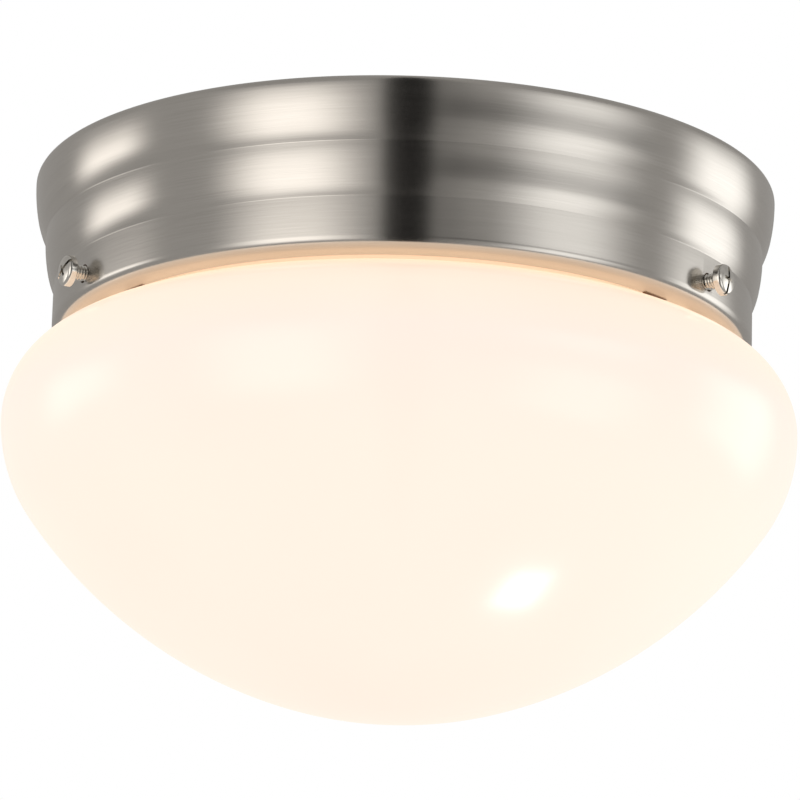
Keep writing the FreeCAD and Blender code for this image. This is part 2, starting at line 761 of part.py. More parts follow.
def lampholder_shell():
    """The brass screw shell, a cup in the lampholder's bore."""
    body = new_body("lampholder_shell", x=HOLDER_MOUTH, z="-lamp_depth")
    floor = "-(shell_inset + shell_length)"
    revolve(body, [
        ("-shell_inset", "shell_radius"),
        (floor, "shell_radius"),
        (floor, "shell_hole_radius"),
        (f"{floor} + shell_wall", "shell_hole_radius"),
        (f"{floor} + shell_wall", "shell_radius - shell_wall"),
        ("-shell_inset", "shell_radius - shell_wall"),
    ], axis="H_Axis")
    return keep(body, "lampholder_shell")


def lampholder_contact():
    """The centre contact: a brass disc on the floor of the bore with a raised middle."""
    body = new_body("lampholder_contact", x="-(holder_back - holder_floor)", z="-lamp_depth")
    revolve(body, [
        ("0", "0"),
        ("contact_wall + contact_rise", "0"),
        ("contact_wall + contact_rise", "contact_radius / 2"),
        ("contact_wall", "contact_radius"),
        ("0", "contact_radius"),
    ], axis="H_Axis")
    return keep(body, "lampholder_contact")


def lampholder_bracket():
    """A bent steel angle: one leg riveted under the plate, the other behind the lampholder."""
    body = new_body("lampholder_bracket")
    back = "(holder_back + bracket_wall)"
    profile = sketch_on(body, "XZ_Plane")
    outline(profile, [
        ("-holder_back", f"-({PLATE_UNDER})"),
        (f"-({back} + bracket_reach)", f"-({PLATE_UNDER})"),
        (f"-({back} + bracket_reach)", f"-({PLATE_UNDER} + bracket_wall)"),
        (f"-{back}", f"-({PLATE_UNDER} + bracket_wall)"),
        (f"-{back}", "-(lamp_depth + bracket_below)"),
        ("-holder_back", "-(lamp_depth + bracket_below)"),
    ])
    pad(body, profile, "bracket_width", middle=True)
    rivets = sketch_on(body, "XY_Plane")
    screws = sketch_on(body, "YZ_Plane")
    for side in ("", "-"):
        across = f"{side}holder_screw_spacing / 2"
        circle(rivets, RIVET_ACROSS, f"{side}rivet_spacing / 2", "rivet_radius + fastener_gap")
        circle(screws, across, "-lamp_depth", "holder_screw_radius + fastener_gap")
    pocket(body, rivets)
    pocket(body, screws)
    return keep(body, "lampholder_bracket")


def lampholder_screws():
    """Two screws through the bracket into the back of the lampholder."""
    members = []
    for name, y in (("front", "-holder_screw_spacing / 2"), ("back", "holder_screw_spacing / 2")):
        body = new_body(f"lampholder_screw_{name}", x="-(holder_back + bracket_wall)", y=y, z="-lamp_depth")
        revolve(body, [
            ("-holder_screw_head / 2", "0"),
            ("holder_screw_length", "0"),
            ("holder_screw_length", "holder_screw_radius"),
            ("0", "holder_screw_radius"),
            ("0", "holder_screw_head"),
            ("-holder_screw_head / 4", "holder_screw_head"),
        ], axis="H_Axis")
        members.append(body)
    return group("lampholder_screws", members)


def bracket_rivets():
    """Two rivets that clench the bracket to the plate, with a head on each side."""
    members = []
    low = f"({PLATE_UNDER} + bracket_wall)"
    for name, y in (("front", "-rivet_spacing / 2"), ("back", "rivet_spacing / 2")):
        body = new_body(f"bracket_rivet_{name}", x=RIVET_ACROSS, y=y)
        revolve(body, [
            ("0", f"-({low} + rivet_head_height)"),
            ("rivet_head_radius / 2", f"-({low} + rivet_head_height)"),
            ("rivet_head_radius", f"-{low}"),
            ("rivet_radius", f"-{low}"),
            ("rivet_radius", "-plate_depth"),
            ("rivet_head_radius", "-plate_depth"),
            ("rivet_head_radius / 2", "-(plate_depth - rivet_head_height)"),
            ("0", "-(plate_depth - rivet_head_height)"),
        ])
        members.append(body)
    return group("bracket_rivets", members)


# ---------------------------------------------------------------- lamp

BULB_BACK = "(-(holder_back - holder_floor) + contact_wall + contact_rise)"
BASE_START = "(bulb_contact_height + bulb_insulator_length)"
BASE_NOSE = "bulb_base_radius - bulb_base_lead"
COLLAR_START = f"({BASE_START} + bulb_base_length)"
DOME_CENTRE = "(bulb_length - bulb_radius)"
HOUSING_TURN = "acos(bulb_housing_radius / bulb_radius)"
HOUSING_END = f"({DOME_CENTRE} - bulb_radius * sin({HOUSING_TURN}))"


def lamp_piece(label, points):
    """A round piece of the lamp, measured along X from the tip of its contact."""
    body = new_body(label, x=BULB_BACK, z="-lamp_depth")
    revolve(body, points, axis="H_Axis")
    return keep(body, label)


def lamp():
    """The household bulb: contact, insulator, screw base, housing and diffuser."""
    lamp_piece("bulb_contact", [
        ("0", "0"), ("bulb_contact_height", "0"), ("bulb_contact_height", "bulb_contact_radius"),
        ("0", "bulb_contact_radius / 2"),
    ])
    lamp_piece("bulb_insulator", [
        ("bulb_contact_height", "0"), (BASE_START, "0"), (BASE_START, BASE_NOSE),
        ("bulb_contact_height", "bulb_insulator_radius"),
    ])
    lamp_piece("bulb_base_shell", [
        (BASE_START, "0"), (COLLAR_START, "0"), (COLLAR_START, "bulb_base_radius"),
        (f"{BASE_START} + bulb_base_lead", "bulb_base_radius"), (BASE_START, BASE_NOSE),
    ])
    lamp_piece("bulb_housing", [
        (COLLAR_START, "0"), (HOUSING_END, "0"), (HOUSING_END, "bulb_housing_radius"),
        (f"{COLLAR_START} + bulb_collar_length", "bulb_collar_radius", "bulb_housing_arc", "right"),
        (COLLAR_START, "bulb_collar_radius"),
    ])
    lamp_piece("bulb_diffuser", [
        (HOUSING_END, "0"), ("bulb_length", "0"), (DOME_CENTRE, "bulb_radius", "bulb_radius", "left"),
        (HOUSING_END, "bulb_housing_radius", "bulb_radius", "left"),
    ])


# ---------------------------------------------------------------- wiring

def wire_bushing():
    """The plastic bushing in the plate's wire hole, with a flange on each side."""
    body = new_body("wire_bushing", x="-bushing_offset")
    above = "-(plate_depth - bushing_flange_wall)"
    below = f"-({PLATE_UNDER} + bushing_flange_wall)"
    sleeve = "bushing_radius - bushing_gap"
    revolve(body, [
        ("bushing_bore", above), ("bushing_bore", below), ("bushing_flange", below),
        ("bushing_flange", f"-{PLATE_UNDER}"), (sleeve, f"-{PLATE_UNDER}"), (sleeve, "-plate_depth"),
        ("bushing_flange", "-plate_depth"), ("bushing_flange", above),
    ])
    return keep(body, "wire_bushing")


def rounded_path(points):
    """Straight runs through the points, joined by tangent arcs as large as the runs allow."""
    edges = []
    here = points[0]
    for before, corner, after in zip(points, points[1:], points[2:]):
        back, ahead = (before - corner), (after - corner)
        shorter = min(back.Length, ahead.Length)
        back.normalize()
        ahead.normalize()
        half_turn = (math.pi - back.getAngle(ahead)) / 2
        reach = 0.45 * shorter
        radius = reach / math.tan(half_turn)
        start, end = corner + back * reach, corner + ahead * reach
        to_centre = (back + ahead).normalize()
        middle = corner + to_centre * (radius / math.cos(half_turn) - radius)
        edges += [Part.LineSegment(here, start).toShape(), Part.Arc(start, middle, end).toShape()]
        print(f"bend radius {radius:.1f}")
        here = end
    edges.append(Part.LineSegment(here, points[-1]).toShape())
    return Part.Wire(edges)


def lead(label, points):
    """An insulated lead along its route through the given points."""
    spots = [FreeCAD.Vector(*[number(text) for text in point]) for point in points]
    path = rounded_path(spots)
    along = spots[1] - spots[0]
    section = Part.Wire([Part.Circle(spots[0], along, number("lead_radius")).toShape()])
    item = doc.addObject("Part::Feature", label)
    item.Shape = path.makePipeShell([section], True, False)
    expected = math.pi * number("lead_radius")**2 * path.Length
    print(f"{label}: {path.Length:.1f} long, volume {item.Shape.Volume / expected:.4f} of its section's")
    return keep(item, label)


def leads():
    """The line and neutral leads from the lampholder to their splices, and the ground lead."""
    route_depth = f"-({PLATE_UNDER} + lead_route_drop)"
    splice_depth = "-splice_depth"
    hole_floor = f"-(lamp_depth - {LEAD_HOLE_FLOOR} - touch_gap)"
    for label, sign in (("line_lead", "-"), ("neutral_lead", "")):
        lead(label, [
            (LEAD_ACROSS, f"{sign}lead_hole_offset", hole_floor),
            (LEAD_ACROSS, f"{sign}lead_hole_offset", route_depth),
            ("-bushing_offset", f"{sign}lead_pass_offset", route_depth),
            ("-bushing_offset", f"{sign}lead_pass_offset", splice_depth),
            ("-bushing_offset", f"{sign}(splice_start + splice_wall * 2)", splice_depth),
        ])
    under_strap = "-(strap_dip + strap_wall + lead_radius + touch_gap)"
    past_strap = "strap_width / 2 + lead_radius"
    lead("ground_lead", [
        ("ground_head_radius + touch_gap", "ground_offset", under_strap),
        (past_strap, "ground_offset", under_strap),
        (f"{past_strap} + ground_lead_bend", "ground_offset", splice_depth),
        ("ground_splice_start + splice_wall * 2", "ground_offset", splice_depth),
    ])


def splices():
    """Three twist-on splices: two across the recess and one on the ground lead."""
    members = []
    places = {
        "line": ("-bushing_offset", "-splice_start", SPLICE_DIRECTIONS["line"]),
        "neutral": ("-bushing_offset", "splice_start", SPLICE_DIRECTIONS["neutral"]),
        "ground": ("ground_splice_start", "ground_offset", SPLICE_DIRECTIONS["ground"]),
    }
    for name, (x, y, turn) in places.items():
        body = new_body(f"splice_{name}", x=x, y=y, z="-splice_depth", turn=turn)
        revolve(body, [
            ("0", "splice_mouth_radius - splice_wall"),
            ("splice_wall * 2", "lead_radius"),
            ("splice_wall * 3", "0"),
            ("splice_length", "0"),
            ("splice_length", "splice_tip_radius"),
            ("splice_wall * 2", "splice_radius"),
            ("0", "splice_radius"),
        ], axis="H_Axis")
        members.append(body)
    return group("wire_splices", members)


def build():
    """Makes every sub-part."""
    canopy_shell()
    back_plate()
    insulation_pad()
    mounting_strap()
    mounting_studs()
    stud_washers()
    cap_nuts()
    ground_screw()
    glass_shade()
    for name, direction in SCREW_DIRECTIONS.items():
        shade_screw(name, direction)
        screw_tip(name, direction)
        nut_clip(name, direction)
    lampholder_body()
    lampholder_shell()
    lampholder_contact()
    lampholder_bracket()
    lampholder_screws()
    bracket_rivets()
    lamp()
    wire_bushing()
    leads()
    splices()


def check_document():
    """Stops if anything failed to build."""
    doc.recompute()
    for item in doc.Objects:
        if any(word in item.State for word in ("Invalid", "Error")):
            raise ValueError(f"{item.Name} failed: {item.State}")
    for item in nodes:
        if item.Shape.isNull() or not item.Shape.isValid() or not item.Shape.Solids:
            raise ValueError(f"{item.Label} has no sound shape")


def write_parts():
    """Writes each sub-part to its own file."""
    os.makedirs("parts", exist_ok=True)
    for item in nodes:
        item.Shape.exportStep(f"parts/{item.Label}.step")
        box = item.Shape.BoundBox
        print(f"{item.Label}: {len(item.Shape.Solids)} solids, {item.Shape.Volume:.1f} mm3, "
              f"z {box.ZMin:.2f} to {box.ZMax:.2f}")


build()
check_document()
write_parts()
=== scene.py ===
# %% [markdown]
# # A flush mount ceiling light
# A stepped canopy of brushed nickel sheet holds a mushroom-shaped bowl of opal glass. The glass hangs by
# the bead on its neck from three small machine screws. This lesson dresses the finished construction of
# that light: it keeps the pieces whose shape is already right and gives them a finish, and it models again
# those whose looks need more, such as the glass, the canopy and the screws with their threads.

# %% The frame
import json
import math

import bmesh
import bpy
from mathutils import Matrix, Vector
from mathutils import noise as mathnoise


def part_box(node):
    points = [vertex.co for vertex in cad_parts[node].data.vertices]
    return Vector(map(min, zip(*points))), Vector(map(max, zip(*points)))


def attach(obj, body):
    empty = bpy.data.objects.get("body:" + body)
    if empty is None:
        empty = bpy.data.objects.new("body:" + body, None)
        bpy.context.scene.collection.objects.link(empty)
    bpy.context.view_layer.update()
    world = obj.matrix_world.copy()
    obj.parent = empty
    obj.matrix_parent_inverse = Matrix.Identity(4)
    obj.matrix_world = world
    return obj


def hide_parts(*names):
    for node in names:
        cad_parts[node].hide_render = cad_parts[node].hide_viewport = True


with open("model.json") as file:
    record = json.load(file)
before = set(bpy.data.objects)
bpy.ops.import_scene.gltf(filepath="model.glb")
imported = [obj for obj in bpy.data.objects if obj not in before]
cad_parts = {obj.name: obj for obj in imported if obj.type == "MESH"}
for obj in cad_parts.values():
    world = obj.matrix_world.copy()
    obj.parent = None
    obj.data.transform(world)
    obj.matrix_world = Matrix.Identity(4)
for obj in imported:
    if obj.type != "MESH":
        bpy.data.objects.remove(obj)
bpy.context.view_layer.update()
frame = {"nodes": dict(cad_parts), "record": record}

MM = 0.001

# %% [markdown]
# ## Camera
# The photograph looks up at the light from a little below, from far enough away that the rim and the lip
# are nearly the same ellipse. A long lens at a long distance gives that. The camera aims at a point on the
# axis, and is tilted sideways by the degree or two that the photograph is.

# %% Camera
VIEW_DISTANCE = 1300 * MM
VIEW_BELOW = math.radians(16.43)
VIEW_ROUND = math.radians(2.6)
VIEW_TILT = math.radians(1.56)
AIM_DEPTH = 53.2 * MM
LIP_DEPTH = 40.5 * MM
SENSOR = 36.0
LENS_IN_FRAMES = 6.524
FAR_LIMIT = 100


def photo_camera():
    """A camera below and in front of the light, at the photograph's angle."""
    data = bpy.data.cameras.new("photo_camera")
    data.sensor_width = SENSOR
    data.lens = SENSOR * LENS_IN_FRAMES
    data.clip_end = FAR_LIMIT
    camera = bpy.data.objects.new("photo_camera", data)
    bpy.context.scene.collection.objects.link(camera)
    level = Vector((math.sin(VIEW_ROUND), -math.cos(VIEW_ROUND), 0)) * math.cos(VIEW_BELOW)
    place = Vector((0, 0, -LIP_DEPTH)) + (level + Vector((0, 0, -math.sin(VIEW_BELOW)))) * VIEW_DISTANCE
    look = Vector((0, 0, -AIM_DEPTH)) - place
    turn = look.to_track_quat("-Z", "Y").to_matrix().to_4x4()
    camera.matrix_world = Matrix.Translation(place) @ turn @ Matrix.Rotation(VIEW_TILT, 4, "Z")
    bpy.context.scene.camera = camera
    return camera


camera = photo_camera()
print("camera at", [round(v, 3) for v in camera.matrix_world.translation])

# %% [markdown]
# ## Nodes
# The studio and every finish are patterns made of nodes. One helper adds a node, gives it its settings and
# joins what feeds it, so that each pattern further on is a few short lines.

# %% Helper for nodes
def add(owner, kind, settings=None, **inputs):
    """Adds a node to a material or a world, and gives back its output.

    An input is a value, or the socket of a node that feeds it. _0 stands for the first input, and so on."""
    node = owner.node_tree.nodes.new(f"ShaderNode{kind}")
    for name, value in (settings or {}).items():
        setattr(node, name, value)
    for name, value in inputs.items():
        socket = node.inputs[int(name[1:])] if name[1:].isdigit() else node.inputs[name.replace("_", " ")]
        if isinstance(value, bpy.types.NodeSocket):
            owner.node_tree.links.new(value, socket)
        else:
            socket.default_value = value
    return next(socket for socket in node.outputs if socket.enabled)


# %% [markdown]
# ## Floor, background and studio light
# A shiny ring shows whatever stands around it, so its bands of light and dark are made by the room and not
# by the metal. The studio had a soft panel on each side in front and another behind each shoulder of the
# light, grey walls between them, and a dark gap where the camera stood. Here the world is that room: in each
# direction it adds up the grey and the panels, and then darkens the gap, what is beside it and a level shelf
# on the right. The camera itself sees the room as plain white. One small lamp low down makes the
# window-shaped glint on the glass.

# %% Studio
FLOOR_DROP = 3.0
FLOOR_SIZE = 12
FLOOR_COLOUR, FLOOR_ROUGHNESS = (0.86, 0.85, 0.83), 0.9
FLOOR_LIGHT, FLOOR_GLOW = (1.0, 0.985, 0.96), 0.42
WARM, COOL, GREY = (1.0, 0.945, 0.885), (1.0, 0.985, 0.955), (1.0, 0.965, 0.92)
WALLS = 0.37
# Each panel's brightness and colour, then in degrees the place of its middle, half its size, and how far its
# edges fade. Each pair is round from the camera, negative to the left, and then up.
PANELS = {
    "front_left": (1.3, WARM, (-36, -7), (4, 11.5), (26, 22)),
    "rear_left": (1.3, WARM, (-103, 2.5), (6, 1.5), (16, 13)),
    "front_right": (1.0, COOL, (54, -8), (3, 22), (27, 12)),
    "rear_right": (1.3, COOL, (113, 0.5), (6, 8.5), (20, 12)),
}
# What darkens the room: how much, and then places and sizes as above.
SHADOWS = {
    "camera_gap": (0.99, (0.3, 0), (7, 90), (1.5, 1)),
    "beside_camera": (0.3, (12, 0), (2, 90), (10, 1)),
    "right_shelf": (0.55, (44, 2), (28, 2), (14, 10)),
}


def patch(world, turn, rise, middle, half, fade):
    """How far a direction lies inside a soft-edged rectangle of the room, from 0 to 1."""
    shares = []
    for angle, centre, reach, edge in zip((turn, rise), middle, half, fade):
        away = add(world, "Math", {"operation": "SUBTRACT"}, _0=angle, _1=float(centre))
        off = add(world, "Math", {"operation": "ABSOLUTE"}, _0=away)
        shares.append(add(world, "MapRange", {"interpolation_type": "SMOOTHSTEP"}, _0=off,
                          _1=float(reach + edge), _2=float(reach), _3=0.0, _4=1.0))
    return add(world, "Math", {"operation": "MULTIPLY"}, _0=shares[0], _1=shares[1])


def room(world):
    """The colour of the studio in each direction."""
    split = world.node_tree.nodes.new("ShaderNodeSeparateXYZ")
    direction = world.node_tree.nodes.new("ShaderNodeTexCoord").outputs["Generated"]
    world.node_tree.links.new(direction, split.inputs[0])
    forward = add(world, "Math", {"operation": "MULTIPLY"}, _0=split.outputs["Y"], _1=-1.0)
    bearing = add(world, "Math", {"operation": "ARCTAN2"}, _0=split.outputs["X"], _1=forward)
    lift = add(world, "Math", {"operation": "ARCSINE"}, _0=split.outputs["Z"])
    turn = add(world, "Math", {"operation": "MULTIPLY_ADD"}, _0=bearing, _1=math.degrees(1),
               _2=-math.degrees(VIEW_ROUND))
    rise = add(world, "Math", {"operation": "MULTIPLY"}, _0=lift, _1=math.degrees(1))
    total = add(world, "VectorMath", {"operation": "SCALE"}, _0=GREY, Scale=WALLS)
    for level, colour, middle, half, fade in PANELS.values():
        share = patch(world, turn, rise, middle, half, fade)
        strength = add(world, "Math", {"operation": "MULTIPLY"}, _0=share, _1=level)
        light = add(world, "VectorMath", {"operation": "SCALE"}, _0=colour, Scale=strength)
        total = add(world, "VectorMath", {"operation": "ADD"}, _0=total, _1=light)
    for depth, middle, half, fade in SHADOWS.values():
        share = patch(world, turn, rise, middle, half, fade)
        left = add(world, "Math", {"operation": "MULTIPLY_ADD"}, _0=share, _1=-depth, _2=1.0)
        total = add(world, "VectorMath", {"operation": "SCALE"}, _0=total, Scale=left)
    return total


def studio_world():
    """A world that the camera sees as white and everything else sees as the studio."""
    world = bpy.data.worlds.new("studio")
    world.use_nodes = True
    nodes, links = world.node_tree.nodes, world.node_tree.links
    nodes.clear()
    output = nodes.new("ShaderNodeOutputWorld")
    mix = nodes.new("ShaderNodeMixShader")
    seen, felt = nodes.new("ShaderNodeBackground"), nodes.new("ShaderNodeBackground")
    seen.inputs["Color"].default_value = (1, 1, 1, 1)
    links.new(room(world), felt.inputs["Color"])
    links.new(nodes.new("ShaderNodeLightPath").outputs["Is Camera Ray"], mix.inputs[0])
    links.new(felt.outputs[0], mix.inputs[1])
    links.new(seen.outputs[0], mix.inputs[2])
    links.new(mix.outputs[0], output.inputs["Surface"])
    bpy.context.scene.world = world


def pale_floor():
    """A plain floor far below the light, marked as part of the stage.

    A glow of its own keeps it pale. It sheds no light on the object and isn't reflected in it."""
    build = bmesh.new()
    bmesh.ops.create_grid(build, x_segments=1, y_segments=1, size=FLOOR_SIZE,
                          matrix=Matrix.Translation((0, 0, -FLOOR_DROP)))
    mesh = bpy.data.meshes.new("floor")
    build.to_mesh(mesh)
    build.free()
    paint = bpy.data.materials.new("pale_floor")
    paint.use_nodes = True
    shader = paint.node_tree.nodes["Principled BSDF"]
    shader.inputs["Base Color"].default_value = (*FLOOR_COLOUR, 1)
    shader.inputs["Roughness"].default_value = FLOOR_ROUGHNESS
    shader.inputs["Emission Color"].default_value = (*FLOOR_LIGHT, 1)
    shader.inputs["Emission Strength"].default_value = FLOOR_GLOW
    mesh.materials.append(paint)
    floor = bpy.data.objects.new("floor", mesh)
    bpy.context.scene.collection.objects.link(floor)
    floor.visible_glossy = False
    floor.visible_diffuse = False


def lamp_towards(name, spot, degrees, rise, distance, size, power):
    """A rectangular light seen from a spot on the object at an angle round from the camera and a rise."""
    data = bpy.data.lights.new(name, "AREA")
    data.shape = "RECTANGLE"
    data.size, data.size_y = size
    data.energy = power
    lamp = bpy.data.objects.new(name, data)
    turn, lift = VIEW_ROUND + math.radians(degrees), math.radians(rise)
    away = Vector((math.sin(turn) * math.cos(lift), -math.cos(turn) * math.cos(lift), math.sin(lift)))
    lamp.location = Vector(spot) * MM + away * distance
    lamp.rotation_euler = (-away).to_track_quat("-Z", "Y").to_euler()
    bpy.context.scene.collection.objects.link(lamp)


scene = bpy.context.scene
scene.view_settings.view_transform = "Standard"
scene.view_settings.look = "None"
studio_world()
pale_floor()
GLINT_SPOT = (32, -52, -114)
lamp_towards("glint_window", GLINT_SPOT, degrees=130, rise=-59.5, distance=1.0, size=(0.17, 0.16),
             power=0.75)

# %% [markdown]
# ## How the finishes are built
# Every finish starts from one shader with its steady values set on its own sockets. Texture nodes then
# change the colour, the roughness and the bump a little from place to place. Most parts here are turned,
# drawn or spun, so their marks run round the axis. Polar coordinates, worked out from the object's own
# coordinates, let a pattern follow that.

# %% Helpers for finishes
def finish(name, colour, roughness, metallic=0.0, **steady):
    """A new material with its steady values set, and its shader."""
    material = bpy.data.materials.new(name)
    material.use_nodes = True
    shader = material.node_tree.nodes["Principled BSDF"]
    shader.inputs["Base Color"].default_value = (*colour, 1)
    shader.inputs["Roughness"].default_value = roughness
    shader.inputs["Metallic"].default_value = metallic
    for socket, value in steady.items():
        shader.inputs[socket.replace("_", " ")].default_value = value
    return material, shader


def feed(material, source, shader, socket):
    """Joins a texture to one of the shader's sockets."""
    material.node_tree.links.new(source, shader.inputs[socket])


def own_place(material):
    """The point on the object, in metres."""
    node = material.node_tree.nodes.new("ShaderNodeTexCoord")
    return node.outputs["Object"]


def round_place(material, along, across):
    """Coordinates that change slowly round the Z axis and quickly across it, for marks that run round."""
    place = own_place(material)
    level = add(material, "VectorMath", {"operation": "MULTIPLY"}, _0=place, _1=(1, 1, 0))
    facing = add(material, "VectorMath", {"operation": "NORMALIZE"}, _0=level)
    circle = add(material, "VectorMath", {"operation": "SCALE"}, _0=facing, Scale=along)
    outward = add(material, "VectorMath", {"operation": "DOT_PRODUCT"}, _0=level, _1=facing)
    height = add(material, "VectorMath", {"operation": "DOT_PRODUCT"}, _0=place, _1=(0, 0, 1))
    fine = add(material, "Math", {"operation": "MULTIPLY_ADD"}, _0=outward, _1=0.7, _2=height)
    finer = add(material, "Math", {"operation": "MULTIPLY"}, _0=fine, _1=across)
    upright = add(material, "CombineXYZ", Z=finer)
    return add(material, "VectorMath", {"operation": "ADD"}, _0=circle, _1=upright)


def noise(material, place, scale, detail=4.0, rough=0.55):
    """Smooth random values from 0 to 1."""
    return add(material, "TexNoise", Vector=place, Scale=scale, Detail=detail, Roughness=rough)


def spread_to(material, value, low, high):
    """Values from 0 to 1 mapped to a range."""
    return add(material, "MapRange", _0=value, _1=0.0, _2=1.0, _3=low, _4=high)


def tint(material, value, dark, light, low=0.3, high=0.7):
    """A colour between two colours, by a value."""
    ramp = material.node_tree.nodes.new("ShaderNodeValToRGB")
    ramp.color_ramp.elements[0].position = low
    ramp.color_ramp.elements[0].color = (*dark, 1)
    ramp.color_ramp.elements[1].position = high
    ramp.color_ramp.elements[1].color = (*light, 1)
    material.node_tree.links.new(value, ramp.inputs[0])
    return ramp.outputs[0]


def bump(material, shader, height, strength, distance):
    """Fine relief."""
    relief = add(material, "Bump", Height=height, Strength=strength, Distance=distance)
    feed(material, relief, shader, "Normal")


# %% [markdown]
# ## Brushed nickel
# The canopy is brushed while it spins, so its scratches run round it. Light on such scratches spreads at a
# right angle to them, which is why each reflection is a tall upright band. Anisotropy with its tangent
# round the Z axis does that, and very long thin noise makes the scratches themselves.

# %% Metal finishes
SCRATCH_WIDTH, SHADE_WIDTH = 0.22 * MM, 2.5 * MM


def brushed_nickel():
    """Satin nickel plate, brushed round the ring."""
    material, shader = finish("brushed_nickel", (0.62, 0.6, 0.57), 0.2, 1.0, Anisotropic=0.5,
                              Anisotropic_Rotation=0.25)
    tangent = material.node_tree.nodes.new("ShaderNodeTangent")
    tangent.direction_type = "RADIAL"
    tangent.axis = "Z"
    feed(material, tangent.outputs[0], shader, "Tangent")
    thin = round_place(material, along=5.0, across=1 / SCRATCH_WIDTH)
    scratches = noise(material, thin, scale=1.0, detail=6.0, rough=0.62)
    wide = round_place(material, along=2.0, across=1 / SHADE_WIDTH)
    broad = noise(material, wide, scale=1.0, detail=3.0)
    feed(material, spread_to(material, scratches, low=0.17, high=0.23), shader, "Roughness")
    mixed = add(material, "Math", {"operation": "MULTIPLY_ADD"}, _0=broad, _1=0.35, _2=scratches)
    colour = tint(material, mixed, (0.6, 0.58, 0.55), (0.67, 0.65, 0.62), low=0.45, high=0.9)
    feed(material, colour, shader, "Base Color")
    bump(material, shader, scratches, strength=0.035, distance=0.02 * MM)
    return material


def plated(name, colour, roughness, mark_size, relief):
    """Plated or plain metal with faint handling marks."""
    material, shader = finish(name, colour, roughness, 1.0)
    marks = noise(material, own_place(material), scale=1.0 / mark_size, detail=5.0)
    gloss = spread_to(material, marks, low=roughness * 0.65, high=roughness * 1.5)
    feed(material, gloss, shader, "Roughness")
    darker = tuple(part * 0.86 for part in colour)
    feed(material, tint(material, marks, darker, colour), shader, "Base Color")
    bump(material, shader, marks, strength=0.25, distance=relief)
    return material


nickel = brushed_nickel()
# A name, then the colour, the roughness, the size of the marks and the depth of the relief.
bright_nickel = plated("bright_nickel", (0.86, 0.84, 0.8), 0.13, 1.5 * MM, 0.01 * MM)
zinc = plated("zinc_steel", (0.7, 0.71, 0.73), 0.34, 4 * MM, 0.03 * MM)
bronzed = plated("bronzed_spring_steel", (0.26, 0.15, 0.09), 0.42, 2 * MM, 0.02 * MM)
brass = plated("plain_brass", (0.83, 0.62, 0.28), 0.28, 3 * MM, 0.02 * MM)
base_metal = plated("bulb_base_metal", (0.78, 0.77, 0.75), 0.24, 2 * MM, 0.01 * MM)
print("metals:", [item.name for item in (nickel, bright_nickel, zinc, bronzed, brass, base_metal)])

# %% [markdown]
# ## Opal glass, lit from inside
# Opal glass is white all through, and a lit one glows almost evenly: light bounces round inside until its
# source is lost. Here that glow is painted light: the glass gives it off itself, in place of the lamp's
# light shining through. Its colour is set by height on the object: warm white on the shoulder and the bowl,
# a little dimmer at the waist, and more orange near the neck, where the light comes out through the edge.
# Over it lies a hard gloss that still shows the panels as soft window shapes.

# %% Glass finish
# The strength of the painted glow that the glass gives off itself.
GLOW = 0.86
# The painted glow's colours, from the neck down, and where the second and the last stand: at a share of the
# way to the waist, and by how much below it.
NECK_GLOW, SHOULDER_GLOW = (0.82, 0.55, 0.35), (0.94, 0.745, 0.59)
WAIST_GLOW, BOWL_GLOW = (0.84, 0.71, 0.62), (0.9, 0.735, 0.62)
SHOULDER_SHARE, BELOW_WAIST = 0.35, 0.3


def opal_glass(rim_depth, waist_depth, bottom_depth):
    """A glossy opal surface with a painted glow that changes from the neck down to the bottom of the bowl.
    """
    material, shader = finish("opal_glass", (0.6, 0.585, 0.565), 0.17, IOR=1.5)
    split = material.node_tree.nodes.new("ShaderNodeSeparateXYZ")
    material.node_tree.links.new(own_place(material), split.inputs[0])
    depth = add(material, "MapRange", _0=split.outputs["Z"], _1=-rim_depth, _2=-bottom_depth, _3=0.0, _4=1.0)
    ramp = material.node_tree.nodes.new("ShaderNodeValToRGB")
    waist = (waist_depth - rim_depth) / (bottom_depth - rim_depth)
    stops = ((0.0, NECK_GLOW), (waist * SHOULDER_SHARE, SHOULDER_GLOW), (waist, WAIST_GLOW),
             (waist + BELOW_WAIST, BOWL_GLOW), (1.0, BOWL_GLOW))
    ramp.color_ramp.elements.remove(ramp.color_ramp.elements[1])
    for index, (place, colour) in enumerate(stops):
        stop = ramp.color_ramp.elements[0] if index == 0 else ramp.color_ramp.elements.new(place)
        stop.position = place
        stop.color = (*colour, 1)
    material.node_tree.links.new(depth, ramp.inputs[0])
    # The painted glow also changes a little at random from place to place.
    cloud = noise(material, own_place(material), scale=18.0, detail=2.0)
    soft = spread_to(material, cloud, low=0.97, high=1.03)
    glow = add(material, "VectorMath", {"operation": "SCALE"}, _0=ramp.outputs[0], Scale=soft)
    feed(material, glow, shader, "Emission Color")
    shader.inputs["Emission Strength"].default_value = GLOW
    ripple = noise(material, own_place(material), scale=26.0, detail=1.0)
    bump(material, shader, ripple, strength=0.15, distance=0.6 * MM)
    return material


# %% Plain finishes
def moulded(name, colour, roughness, grain, relief, **steady):
    """Moulded, enamelled or glazed stuff, a little uneven in colour and gloss."""
    material, shader = finish(name, colour, roughness, **steady)
    marks = noise(material, own_place(material), scale=1.0 / grain)
    gloss = spread_to(material, marks, low=roughness * 0.8, high=roughness * 1.25)
    feed(material, gloss, shader, "Roughness")
    darker = tuple(part * 0.9 for part in colour)
    feed(material, tint(material, marks, darker, colour), shader, "Base Color")
    bump(material, shader, marks, strength=0.2, distance=relief)
    return material


